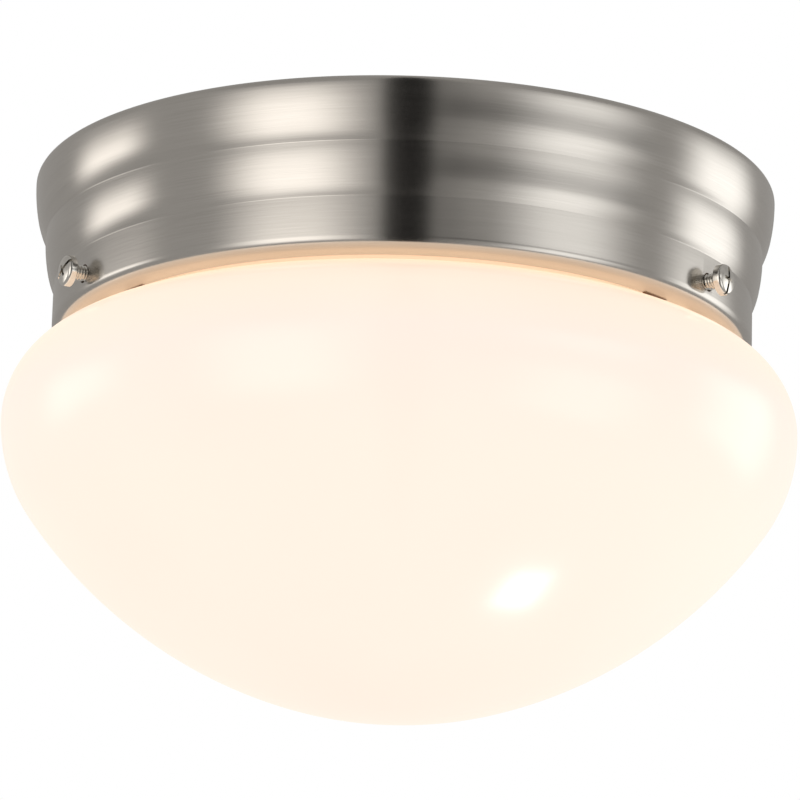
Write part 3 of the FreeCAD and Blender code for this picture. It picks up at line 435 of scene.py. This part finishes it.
def glass_fibre():
    """Matted glass fibre: pale yellow with darker clumps, and strands in fine relief."""
    material, shader = finish("glass_fibre", (0.8, 0.7, 0.42), 0.95, Sheen_Weight=0.3)
    place = own_place(material)
    bent = noise(material, place, scale=160.0, detail=3.0)
    shift = add(material, "VectorMath", {"operation": "SCALE"}, _0=bent, Scale=0.02)
    moved = add(material, "VectorMath", {"operation": "ADD"}, _0=place, _1=shift)
    strands = add(material, "TexWave", {"wave_type": "BANDS", "bands_direction": "DIAGONAL"},
                  Vector=moved, Scale=220.0, Distortion=9.0, Detail=3.0, Detail_Scale=2.0)
    clumps = noise(material, place, scale=380.0, detail=6.0, rough=0.7)
    brighter = add(material, "Math", {"operation": "MULTIPLY"}, _0=clumps, _1=1.1)
    feed(material, tint(material, brighter, (0.62, 0.52, 0.27), (0.92, 0.86, 0.6)), shader, "Base Color")
    bump(material, shader, strands, strength=0.6, distance=0.5 * MM)
    return material


# A name, then the colour, the roughness, the size of the marks and the depth of the relief.
enamel = moulded("white_enamel", (0.86, 0.86, 0.84), 0.32, 6 * MM, 0.04 * MM)
porcelain = moulded("porcelain", (0.9, 0.89, 0.86), 0.12, 9 * MM, 0.05 * MM, Coat_Weight=0.6)
nylon = moulded("natural_nylon", (0.82, 0.81, 0.76), 0.45, 1 * MM, 0.01 * MM)
black_nylon = moulded("black_nylon", (0.03, 0.03, 0.032), 0.5, 1 * MM, 0.02 * MM)
green_paint = moulded("green_paint", (0.06, 0.34, 0.13), 0.35, 2 * MM, 0.02 * MM)
black_lead = moulded("black_insulation", (0.02, 0.02, 0.022), 0.42, 2 * MM, 0.03 * MM)
white_lead = moulded("white_insulation", (0.84, 0.84, 0.81), 0.42, 2 * MM, 0.03 * MM)
green_lead = moulded("green_insulation", (0.03, 0.26, 0.09), 0.42, 2 * MM, 0.03 * MM)
splice_orange = moulded("splice_plastic", (0.8, 0.26, 0.03), 0.38, 2 * MM, 0.02 * MM)
black_glass = moulded("black_glass", (0.015, 0.015, 0.02), 0.1, 3 * MM, 0.02 * MM)
bulb_plastic = moulded("bulb_housing_plastic", (0.88, 0.88, 0.87), 0.3, 5 * MM, 0.03 * MM)
bulb_frost = moulded("bulb_diffuser_frost", (0.95, 0.93, 0.88), 0.5, 5 * MM, 0.02 * MM)
fibre = glass_fibre()
LAMP_LIGHT, LAMP_GLOW = (1.0, 0.82, 0.6), 1.2
shader_of_frost = bulb_frost.node_tree.nodes["Principled BSDF"]
shader_of_frost.inputs["Emission Color"].default_value = (*LAMP_LIGHT, 1)
shader_of_frost.inputs["Emission Strength"].default_value = LAMP_GLOW
print("finishes made:", len(bpy.data.materials))

# %% [markdown]
# ## Turned pieces
# The canopy, the glass, the screw heads and the splices are all round, so each starts as one outline that
# is spun about an axis. An outline is a list of straight points and arcs; each arc is given by its centre,
# radius and angles, as a draughtsman would. Spinning makes the faces, the doubled points are merged, and the
# normals are worked out again so that they face outwards.

# %% Helpers for turned pieces
ROUND_STEPS = 288
SMOOTH_ANGLE = math.radians(32)
SAME_POINT = 1e-4
SAME_VERTEX = 1e-7
LAID_OVER = Matrix.Rotation(math.pi / 2, 4, "Y")


def arc(across, up, radius, start, end, steps):
    """Points of an arc about a centre. The angles are in degrees, from the direction away from the axis."""
    angles = [math.radians(start + (end - start) * step / steps) for step in range(steps + 1)]
    return [(across + radius * math.cos(angle), up + radius * math.sin(angle)) for angle in angles]


def without_repeats(points):
    """The same outline with no point on top of the one before it."""
    kept = []
    for point in points:
        if not kept or math.dist(point, kept[-1]) > SAME_POINT:
            kept.append(point)
    return kept[:-1] if math.dist(kept[0], kept[-1]) < SAME_POINT else kept


def spun(outline, closed=True, steps=ROUND_STEPS):
    """A bmesh of an outline, in millimetres across and up, spun round the Z axis."""
    build = bmesh.new()
    points = [build.verts.new((across * MM, 0, up * MM)) for across, up in without_repeats(outline)]
    edges = [build.edges.new(pair) for pair in zip(points, points[1:])]
    if closed:
        edges.append(build.edges.new((points[-1], points[0])))
    bmesh.ops.spin(build, geom=points + edges, cent=(0, 0, 0), axis=(0, 0, 1), angle=math.tau, steps=steps,
                   use_merge=True)
    bmesh.ops.remove_doubles(build, verts=build.verts, dist=SAME_VERTEX)
    bmesh.ops.recalc_face_normals(build, faces=build.faces)
    return build


def piece(name, build, material, body):
    """A finished, smoothly shaded object from a bmesh, with its finish, riding on its body."""
    mesh = bpy.data.meshes.new(name)
    build.to_mesh(mesh)
    build.free()
    for face in mesh.polygons:
        face.use_smooth = True
    mesh.set_sharp_from_angle(angle=SMOOTH_ANGLE)
    mesh.materials.append(material)
    item = bpy.data.objects.new(name, mesh)
    bpy.context.scene.collection.objects.link(item)
    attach(item, body)
    return item


def carve(item, tool, operation="DIFFERENCE"):
    """Cuts the tool's shape out of the item's mesh for good, or joins it on, and removes the tool."""
    modifier = item.modifiers.new("carve", "BOOLEAN")
    modifier.operation = operation
    modifier.solver = "EXACT"
    modifier.object = tool
    result = bpy.data.meshes.new_from_object(item.evaluated_get(bpy.context.evaluated_depsgraph_get()))
    item.modifiers.remove(modifier)
    item.data = result
    result.set_sharp_from_angle(angle=SMOOTH_ANGLE)
    bpy.data.objects.remove(tool)


def loose(name, build):
    """An object for carving with, which belongs to nothing."""
    mesh = bpy.data.meshes.new(name)
    build.to_mesh(mesh)
    build.free()
    item = bpy.data.objects.new(name, mesh)
    bpy.context.scene.collection.objects.link(item)
    return item


# %% [markdown]
# ## The canopy
# One sheet of metal drawn over a form: a flange that lies on the ceiling, a rounded rim, two steps, each a
# round crown ending in a tight foot, a straight skirt, and a lip rolled in under it. The outline goes down
# the outside and comes back up the inside, one sheet's thickness in. A crown starts slack, gets rounder, and
# enters its foot without a corner, which is what spreads each panel's light over most of it.

# %% Canopy
WALL = 0.8
CANOPY_DEPTH = LIP_DEPTH / MM
RIM_CORNER = 1.8
RIM_FLANGE = 7.0
SKIRT = 87.1
FIRST_STEP, SECOND_STEP = 2.9, 2.5
BAND = SKIRT + SECOND_STEP
TOP = BAND + FIRST_STEP
FIRST_FOOT_DEPTH = 15.5
SECOND_FOOT_DEPTH = 28.3
CROWN_ARC, CROWN_ANGLE = 40.0, 11.5
FOOT = 0.35
LIP_CORNER = 2.6
LIP_WIDTH = 7.6
SCREW_DEPTH = 35.0
SCREW_TURNS = {"rear": 90, "left": 210, "right": 330}
SCREW_HOLE, DRILL_LENGTH, DRILL_SIDES = 2.3, 6, 48
# Into how many parts each arc is divided. The inside is hardly seen, so its corners have fewer.
SLACK_PARTS, TIGHT_PARTS, FOOT_PARTS = 8, 10, 6
CORNER_PARTS, INSIDE_PARTS = 8, 4


def step_outline(outer, inner, start, end, wall=0.0):
    """A step going down from one radius and depth to another. wall shifts it inwards.

    A slack arc turns through CROWN_ANGLE. A tighter one, whose radius has to be worked out, goes on from it
    and meets the foot's arc without a corner."""
    lean = math.radians(CROWN_ANGLE)
    height = end - start - CROWN_ARC * math.sin(lean)
    drop = outer - inner - CROWN_ARC * (1 - math.cos(lean))
    left = FOOT - drop
    pull = height * math.sin(lean) + left * math.cos(lean) - FOOT
    tight = (FOOT ** 2 - height ** 2 - left ** 2) / pull / 2
    steep = math.degrees(math.atan2(height + tight * math.sin(lean), tight * math.cos(lean) + left))
    across = outer - CROWN_ARC + (CROWN_ARC - tight) * math.cos(lean)
    up = -start - (CROWN_ARC - tight) * math.sin(lean)
    down = arc(outer - CROWN_ARC, -start, CROWN_ARC - wall, 0, -CROWN_ANGLE, SLACK_PARTS)
    down += arc(across, up, tight - wall, -CROWN_ANGLE, -steep, TIGHT_PARTS)
    return down + arc(inner + FOOT, -end, FOOT + wall, 180 - steep, 180, FOOT_PARTS)


def canopy_outline():
    """The outline of the drawn ring, outside and inside."""
    outside = [(TOP - RIM_FLANGE, 0)]
    outside += arc(TOP - RIM_CORNER, -RIM_CORNER, RIM_CORNER, 90, 0, CORNER_PARTS)
    outside += step_outline(TOP, BAND, RIM_CORNER, FIRST_FOOT_DEPTH)
    outside += step_outline(BAND, SKIRT, FIRST_FOOT_DEPTH, SECOND_FOOT_DEPTH)
    outside += arc(SKIRT - LIP_CORNER, LIP_CORNER - CANOPY_DEPTH, LIP_CORNER, 0, -90, CORNER_PARTS)
    inside = [(TOP - RIM_FLANGE, -WALL)]
    inside += arc(TOP - RIM_CORNER, -RIM_CORNER, RIM_CORNER - WALL, 90, 0, INSIDE_PARTS)
    inside += step_outline(TOP, BAND, RIM_CORNER, FIRST_FOOT_DEPTH, WALL)
    inside += step_outline(BAND, SKIRT, FIRST_FOOT_DEPTH, SECOND_FOOT_DEPTH, WALL)
    inside += arc(SKIRT - LIP_CORNER, LIP_CORNER - CANOPY_DEPTH, LIP_CORNER - WALL, 0, -90, INSIDE_PARTS)
    lip = [(SKIRT - LIP_WIDTH, -CANOPY_DEPTH), (SKIRT - LIP_WIDTH, WALL - CANOPY_DEPTH)]
    return outside + lip + inside[::-1]


canopy = piece("canopy_ring", spun(canopy_outline()), nickel, "canopy")
drills = bmesh.new()
for turn in SCREW_TURNS.values():
    outward = Matrix.Translation((SKIRT * MM, 0, -SCREW_DEPTH * MM))
    place = Matrix.Rotation(math.radians(turn), 4, "Z") @ outward @ LAID_OVER
    bmesh.ops.create_cone(drills, cap_ends=True, segments=DRILL_SIDES, radius1=SCREW_HOLE * MM,
                          radius2=SCREW_HOLE * MM, depth=DRILL_LENGTH * MM, matrix=place)
carve(canopy, loose("drills", drills))
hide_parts("canopy_shell")
print("canopy faces:", len(canopy.data.polygons))

# %% [markdown]
# ## The opal bowl
# The bowl is blown: a deep, round bottom, sides that run out nearly straight, a soft shoulder that rolls in
# under the lip, and a neck that stands up inside the canopy. Below the widest place three arcs share their
# tangents. The middle one has the largest radius, which gives the nearly straight part of the side. The neck
# ends in the rolled bead that the screws pass under.

# %% Bowl
SHADE = 98.5
EQUATOR = 62.6
GLASS = 2.8
SIDE_ARC, SIDE_ANGLE = 36.6, 35.3
BELLY_ARC, BELLY_ANGLE = 120.1, 70.4
SHOULDER_ARC = 20.7
NECK_GAP = 3
NECK = SKIRT - LIP_WIDTH - NECK_GAP
NECK_FILLET = 2.5
NECK_TOP = 22.5
NECK_EDGE = 0.8
BEAD = 1.5
BOTTOM_PARTS, BELLY_PARTS, SIDE_PARTS, SHOULDER_PARTS, FILLET_PARTS = 12, 26, 16, 26, 8
BEAD_PARTS, EDGE_PARTS = 12, 5


def bowl_outline(wall):
    """The bowl from its lowest point up to the neck, on the outside or a wall's thickness inside."""
    side, belly = math.radians(SIDE_ANGLE), math.radians(BELLY_ANGLE)
    side_across = SHADE - SIDE_ARC
    belly_across = side_across + (SIDE_ARC - BELLY_ARC) * math.cos(side)
    belly_up = -EQUATOR - (SIDE_ARC - BELLY_ARC) * math.sin(side)
    crown_arc = (belly_across + BELLY_ARC * math.cos(belly)) / math.cos(belly)
    crown_up = belly_up - (BELLY_ARC - crown_arc) * math.sin(belly)
    shoulder_across = SHADE - SHOULDER_ARC
    reach = SHOULDER_ARC + NECK_FILLET
    lean = math.degrees(math.acos((NECK + NECK_FILLET - shoulder_across) / reach))
    fillet_up = -EQUATOR + reach * math.sin(math.radians(lean))
    outline = arc(0, crown_up, crown_arc - wall, -90, -BELLY_ANGLE, BOTTOM_PARTS)
    outline += arc(belly_across, belly_up, BELLY_ARC - wall, -BELLY_ANGLE, -SIDE_ANGLE, BELLY_PARTS)
    outline += arc(side_across, -EQUATOR, SIDE_ARC - wall, -SIDE_ANGLE, 0, SIDE_PARTS)
    outline += arc(shoulder_across, -EQUATOR, SHOULDER_ARC - wall, 0, lean, SHOULDER_PARTS)
    outline += arc(NECK + NECK_FILLET, fillet_up, NECK_FILLET + wall, 180 + lean, 180, FILLET_PARTS)
    return outline


def glass_outline():
    """The whole section of the glass, with the bead at the top of the neck."""
    bead = arc(NECK, -(NECK_TOP + BEAD), BEAD, -90, 90, BEAD_PARTS)
    edge = arc(NECK - GLASS + NECK_EDGE, -(NECK_TOP + NECK_EDGE), NECK_EDGE, 90, 180, EDGE_PARTS)
    return bowl_outline(0) + bead + edge + bowl_outline(GLASS)[::-1]


bowl_bottom = -bowl_outline(0)[0][1]
opal = opal_glass(LIP_DEPTH, EQUATOR * MM, bowl_bottom * MM)
bowl = piece("opal_bowl", spun(glass_outline()), opal, "shade")
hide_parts("glass_shade")
print("bowl:", round(bowl_bottom, 2), "mm deep,", len(bowl.data.polygons), "faces")

# %% [markdown]
# ## Threads
# A thread is one groove that climbs round a rod. The short outline of one pitch, from root to crest and
# back, is spun along a helix: each step turns it a little and lifts it a little, so after a whole turn it
# has climbed by one pitch and meets its own start. The two ragged ends are cut off flat and closed.

# %% Threaded rods
THREAD_MERGE = 0.005
THREAD_STEPS = 32


def threaded_rod(pitch_outline, pitch, start, end, steps=THREAD_STEPS):
    """A bmesh of a rod along Z, in millimetres. pitch_outline has the share of the pitch and the radius."""
    build = bmesh.new()
    turns = math.ceil((end - start) / pitch) + 2
    points = [build.verts.new((radius * MM, 0, (start + (share - 1) * pitch) * MM))
              for share, radius in pitch_outline]
    edges = [build.edges.new(pair) for pair in zip(points, points[1:])]
    climb = (0, 0, pitch * MM / steps)
    bmesh.ops.spin(build, geom=points + edges, cent=(0, 0, 0), axis=(0, 0, 1), dvec=climb,
                   angle=math.tau * turns, steps=steps * turns)
    bmesh.ops.remove_doubles(build, verts=build.verts, dist=THREAD_MERGE * MM)
    for height, upper in ((start, False), (end, True)):
        everything = build.verts[:] + build.edges[:] + build.faces[:]
        bmesh.ops.bisect_plane(build, geom=everything, dist=SAME_VERTEX, plane_co=(0, 0, height * MM),
                               plane_no=(0, 0, 1), clear_inner=not upper, clear_outer=upper)
    rims = [edge for edge in build.edges if edge.is_boundary]
    bmesh.ops.holes_fill(build, edges=rims, sides=0)
    bmesh.ops.recalc_face_normals(build, faces=build.faces)
    return build


def hold_radius(build, limit):
    """Pulls each point in towards Z until it is no further out than limit(height) allows."""
    for vert in build.verts:
        radius = math.hypot(vert.co.x, vert.co.y)
        allowed = limit(vert.co.z / MM) * MM
        if radius > allowed:
            vert.co.x *= allowed / radius
            vert.co.y *= allowed / radius


# %% [markdown]
# ## The three shade screws
# Each is a bright pan head machine screw with a recess that takes either driver: a cross in the middle and
# a slot from edge to edge. The glass hangs on their ends, so they stand out from the skirt and about three
# millimetres of thread show. Nobody stops turning at the same place, so each cross stands at its own angle.
# The head is turned, the recess is cut from it with two tapered blocks, and the rod is joined on.

# %% Shade screws
THREAD = 1.95
THREAD_ROOT = 1.6
THREAD_PITCH = 0.7
THREAD_OUTLINE = ((0, THREAD_ROOT), (0.12, THREAD_ROOT), (0.48, THREAD), (0.62, THREAD), (1, THREAD_ROOT))
SCREW_END = 78.0
SCREW_POINT = 1.3
ROD_IN_HEAD = 0.5
HEAD_UNDER = 90.3
HEAD = 3.8
HEAD_HEIGHT = 2.6
HEAD_STEPS = 72
HEAD_BREAK = 0.15
HEAD_ROUND, HEAD_ROUND_ANGLE, HEAD_ROUND_PARTS = 0.95, 80, 8
HEAD_DOME = 0.32
# How far the dome has fallen at two distances from its middle, and at the middle.
HEAD_FALLS = ((2.0, 0.17), (1.0, 0.04), (0, 0))
RECESS_WIDE = 0.9
RECESS_CROSS = 4.4
RECESS_CROSS_FLOOR = 0.55
RECESS_DEEP = 1.3
RECESS_TAPER = 0.8
RECESS_CLEAR = 1
HEAD_TURNS = {"rear": 55, "left": 28, "right": 84}


def head_outline():
    """Half the section of a pan head: a flat underside, a rounded edge and a slightly domed top."""
    top = HEAD_UNDER + HEAD_HEIGHT
    under = [(0, HEAD_UNDER), (HEAD - HEAD_BREAK, HEAD_UNDER), (HEAD, HEAD_UNDER + HEAD_BREAK)]
    edge = arc(HEAD - HEAD_ROUND, top - HEAD_DOME - HEAD_ROUND, HEAD_ROUND, 0, HEAD_ROUND_ANGLE,
               HEAD_ROUND_PARTS)
    return under + edge + [(across, top - fall) for across, fall in HEAD_FALLS]


def recess_block(length, narrower, turn):
    """A block as wide as the recess and narrower at its floor, for the slot or the bar across it."""
    block = bmesh.new()
    depth = RECESS_DEEP + RECESS_CLEAR
    middle = HEAD_UNDER + HEAD_HEIGHT + RECESS_CLEAR - depth / 2
    shape = Matrix.Diagonal((RECESS_WIDE * MM, length * MM, depth * MM, 1))
    bmesh.ops.create_cube(block, size=1, matrix=Matrix.Translation((0, 0, middle * MM)) @ shape)
    floor_corners = [vert for vert in block.verts if vert.co.z < middle * MM]
    for corner in floor_corners:
        corner.co.y *= narrower
        corner.co.x *= RECESS_TAPER
    turned = Matrix.Rotation(math.radians(turn), 3, "Z")
    bmesh.ops.rotate(block, verts=block.verts, cent=(0, 0, 0), matrix=turned)
    return block


def shade_screw(name):
    """One screw, made upright on the Z axis and then laid along its own direction."""
    def sharp_end(height):
        return min(THREAD, SCREW_POINT + (height - SCREW_END))

    rod = threaded_rod(THREAD_OUTLINE, THREAD_PITCH, SCREW_END, HEAD_UNDER + ROD_IN_HEAD)
    hold_radius(rod, sharp_end)
    screw = piece(f"screw_{name}_bright", spun(head_outline(), closed=False, steps=HEAD_STEPS),
                  bright_nickel, f"screw_{name}")
    carve(screw, loose("slot", recess_block(length=3 * HEAD, narrower=1, turn=0)))
    carve(screw, loose("cross", recess_block(length=RECESS_CROSS, narrower=RECESS_CROSS_FLOOR, turn=90)))
    carve(screw, loose("rod", rod), "UNION")
    level = Matrix.Translation((0, 0, -SCREW_DEPTH * MM))
    lie = level @ Matrix.Rotation(math.radians(SCREW_TURNS[name]), 4, "Z")
    spin = Matrix.Rotation(math.radians(HEAD_TURNS[name]), 4, "Z")
    screw.data.transform(lie @ LAID_OVER @ spin)
    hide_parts(f"shade_screw_{name}")
    return screw


for name in SCREW_TURNS:
    print(name, "screw faces:", len(shade_screw(name).data.polygons))

# %% [markdown]
# ## The insulation pad
# A ring of matted glass fibre lies on the back of the plate and keeps the lamp's heat off the ceiling. It is
# soft, so its edges are round and its surface is never quite flat, and it dents over the two rivet heads.
# A rounded section is spun into a ring, smooth noise moves the points of its sides and top a little along
# their normals, and its underside is lifted round each rivet.

# %% Insulation pad
PLATE_TOP = -12.0
PAD_LOW, PAD_HIGH = PLATE_TOP + 0.05, PLATE_TOP + 8.6
PAD_INSIDE, PAD_OUTSIDE = 52.8, 81.3
PAD_STEPS = 360
# The radius of the edges below and above, and the parts of their arcs.
PAD_CORNER, PAD_CORNER_PARTS = 1.2, 4
PAD_SOFT, PAD_SOFT_PARTS = 3.4, 8
PAD_TOP_PARTS, PAD_UNDER_PARTS = 9, 12
# How far the lumps rise, how close together the large and the small ones are, and how low they start.
PAD_SWELL = 0.56
LARGE_LUMPS, SMALL_LUMPS, SMALL_SHARE = 0.11, 0.35, 0.5
LUMPS_START = 0.4
RIVET_SPOTS = [Vector((-70.7, side, PLATE_TOP)) for side in (-7, 7)]
RIVET_DENT, DENT_SLOPE, DENT_RISE, DENT_REACH = 5.2, 2.5, 1.5, 2


def fibre_ring():
    """The ring's bmesh, with round edges, uneven and dented."""
    outline = arc(PAD_OUTSIDE - PAD_CORNER, PAD_LOW + PAD_CORNER, PAD_CORNER, -90, 0, PAD_CORNER_PARTS)
    outline += arc(PAD_OUTSIDE - PAD_SOFT, PAD_HIGH - PAD_SOFT, PAD_SOFT, 0, 90, PAD_SOFT_PARTS)
    width = PAD_OUTSIDE - PAD_INSIDE - 2 * PAD_SOFT
    for step in range(1, PAD_TOP_PARTS):
        outline.append((PAD_OUTSIDE - PAD_SOFT - width * step / PAD_TOP_PARTS, PAD_HIGH))
    outline += arc(PAD_INSIDE + PAD_SOFT, PAD_HIGH - PAD_SOFT, PAD_SOFT, 90, 180, PAD_SOFT_PARTS)
    outline += arc(PAD_INSIDE + PAD_CORNER, PAD_LOW + PAD_CORNER, PAD_CORNER, 180, 270, PAD_CORNER_PARTS)
    under = width + 2 * PAD_SOFT - 2 * PAD_CORNER
    for step in range(1, PAD_UNDER_PARTS):
        outline.append((PAD_INSIDE + PAD_CORNER + under * step / PAD_UNDER_PARTS, PAD_LOW))
    build = spun(outline, steps=PAD_STEPS)
    for vert in build.verts:
        spot = vert.co / MM
        lumps = mathnoise.noise(spot * LARGE_LUMPS) + SMALL_SHARE * mathnoise.noise(spot * SMALL_LUMPS)
        rise = lumps * PAD_SWELL if spot.z > PAD_LOW + LUMPS_START else 0
        vert.co += vert.normal * rise * MM
        for rivet in RIVET_SPOTS:
            near = 1 - (Vector(spot.xy) - rivet.xy).length / RIVET_DENT
            if near > 0 and spot.z < PAD_LOW + DENT_REACH:
                vert.co.z += min(1, DENT_SLOPE * near) * DENT_RISE * MM
    bmesh.ops.recalc_face_normals(build, faces=build.faces)
    return build


pad = piece("fibre_ring", fibre_ring(), fibre, "canopy")
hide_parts("insulation_pad")
print("pad faces:", len(pad.data.polygons))

# %% [markdown]
# ## Splices on the leads
# Each lead ends in a twist-on splice, a hollow plastic cone with flutes that fingers can grip. The cone is
# spun from its section, with the mouth as part of the outline, and the flutes are sunk into it by insetting
# pairs of faces.

# %% Splices
SPLICE_LEVEL = -7.2
SPLICE_SPOTS = {"line": (-22, -14, -90), "neutral": (-22, 14, 90), "ground": (17, 12, 0)}
SPLICE_STEPS = 48
# The section from inside the mouth to the foot of the cone, the heights of its rings, and its tip.
SPLICE_MOUTH = [(0, 3), (1.3, 2.3), (2.6, 0), (3.9, 0), (4.3, 0.4), (4.3, 1.8), (4.05, 2.1), (4.0, 2.5)]
SPLICE_RINGS = (5, 7.5, 10, 12.5)
SPLICE_TIP = [(2.5, 14.0), (2.0, 14.7), (1.2, 15.0), (0, 15.0)]
SPLICE_TAPER = 0.115
SPLICE_BORE = 2.6
FLUTE_EVERY, FLUTE_WIDE = 4, 2
FLUTE_EDGE, FLUTE_DEPTH = 0.12, 0.28


def splice(name, across, along, turn):
    """One splice, made upright with its mouth at zero and then laid where its lead ends."""
    wide, low = SPLICE_MOUTH[-1]
    cone = [(wide - (height - low) * SPLICE_TAPER, height) for height in SPLICE_RINGS]
    build = spun(SPLICE_MOUTH + cone + SPLICE_TIP, closed=False, steps=SPLICE_STEPS)
    flutes = []
    for face in build.faces:
        middle = face.calc_center_median() / MM
        sector = int((math.atan2(middle.y, middle.x) % math.tau) / math.tau * SPLICE_STEPS)
        outside = low < middle.z < SPLICE_RINGS[-1] and middle.xy.length > SPLICE_BORE
        if outside and sector % FLUTE_EVERY < FLUTE_WIDE:
            flutes.append(face)
    bmesh.ops.inset_region(build, faces=flutes, thickness=FLUTE_EDGE * MM, depth=-FLUTE_DEPTH * MM,
                           use_even_offset=True)
    spot = Matrix.Translation(Vector((across, along, SPLICE_LEVEL)) * MM)
    place = spot @ Matrix.Rotation(math.radians(turn), 4, "Z") @ LAID_OVER
    bmesh.ops.transform(build, verts=build.verts, matrix=place)
    return piece(f"splice_{name}", build, splice_orange, "canopy")


splices = [splice(name, *spot) for name, spot in SPLICE_SPOTS.items()]
for item in splices:
    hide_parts("wire_splices")
print("splice faces:", [len(item.data.polygons) for item in splices])

# %% [markdown]
# ## The lamp's screw base
# A household bulb's base is thin metal rolled into a coarse round thread, a pitch of a little over three and
# a half millimetres. It is the same helix as on the screws, with a wave for its outline, and its two ends
# are drawn in: to the black insulator at the tip and to a plain band under the housing.

# %% Lamp base
LAMP_DEPTH = 47.0
BASE_RADIUS = 13.1
BASE_GROOVE = 0.75
BASE_PITCH = 3.63
BASE_LOW, BASE_HIGH = -48.0, -23.4
BASE_BAND = 5.0
BASE_BAND_GROOVE = 0.6
BASE_TIP = 2
BASE_STEPS = 96
WAVE_PARTS = 10


def lamp_base():
    """The threaded base, made upright with the tip down and then laid along X."""
    def drawn_in(height):
        if height > BASE_HIGH - BASE_BAND:
            return BASE_RADIUS - BASE_GROOVE * BASE_BAND_GROOVE
        return BASE_RADIUS - BASE_TIP + min(BASE_TIP, height - BASE_LOW)

    wave = []
    for step in range(WAVE_PARTS + 1):
        depth = BASE_GROOVE * (0.5 + 0.5 * math.cos(math.tau * step / WAVE_PARTS))
        wave.append((step / WAVE_PARTS, BASE_RADIUS - depth))
    build = threaded_rod(wave, BASE_PITCH, BASE_LOW, BASE_HIGH, steps=BASE_STEPS)
    hold_radius(build, drawn_in)
    place = Matrix.Translation((0, 0, -LAMP_DEPTH * MM)) @ LAID_OVER
    bmesh.ops.transform(build, verts=build.verts, matrix=place)
    return build


base = piece("threaded_base", lamp_base(), base_metal, "bulb")
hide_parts("bulb_base_shell")
low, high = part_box("bulb_base_shell")
print("base from", round(low.x / MM, 2), "to", round(high.x / MM, 2), "mm along X")

# %% [markdown]
# ## The pieces that keep their shape
# Plates, clips, brackets, fasteners, leads and the lampholder are already right as they were constructed.
# They only need their finish, which goes into the material slots of their objects by the name of the
# record's own slot.

# %% Finishes for the kept pieces
FINISHES = {
    "white_enamel": enamel,
    "zinc_steel": zinc,
    "bright_nickel": bright_nickel,
    "green_screw": green_paint,
    "spring_steel": bronzed,
    "porcelain": porcelain,
    "brass": brass,
    "black_nylon": black_nylon,
    "black_lead": black_lead,
    "white_lead": white_lead,
    "green_lead": green_lead,
    "soft_tip": nylon,
    "black_glass": black_glass,
    "bulb_plastic": bulb_plastic,
    "bulb_frost": bulb_frost,
}
slot_of = {part["node"]: part["material_slot"] for part in frame["record"]["subparts"]}
dressed = 0
for node, item in frame["nodes"].items():
    if slot_of[node] not in FINISHES:
        continue
    for place in item.material_slots:
        place.material = FINISHES[slot_of[node]]
    dressed += 1
print("kept pieces dressed:", dressed)
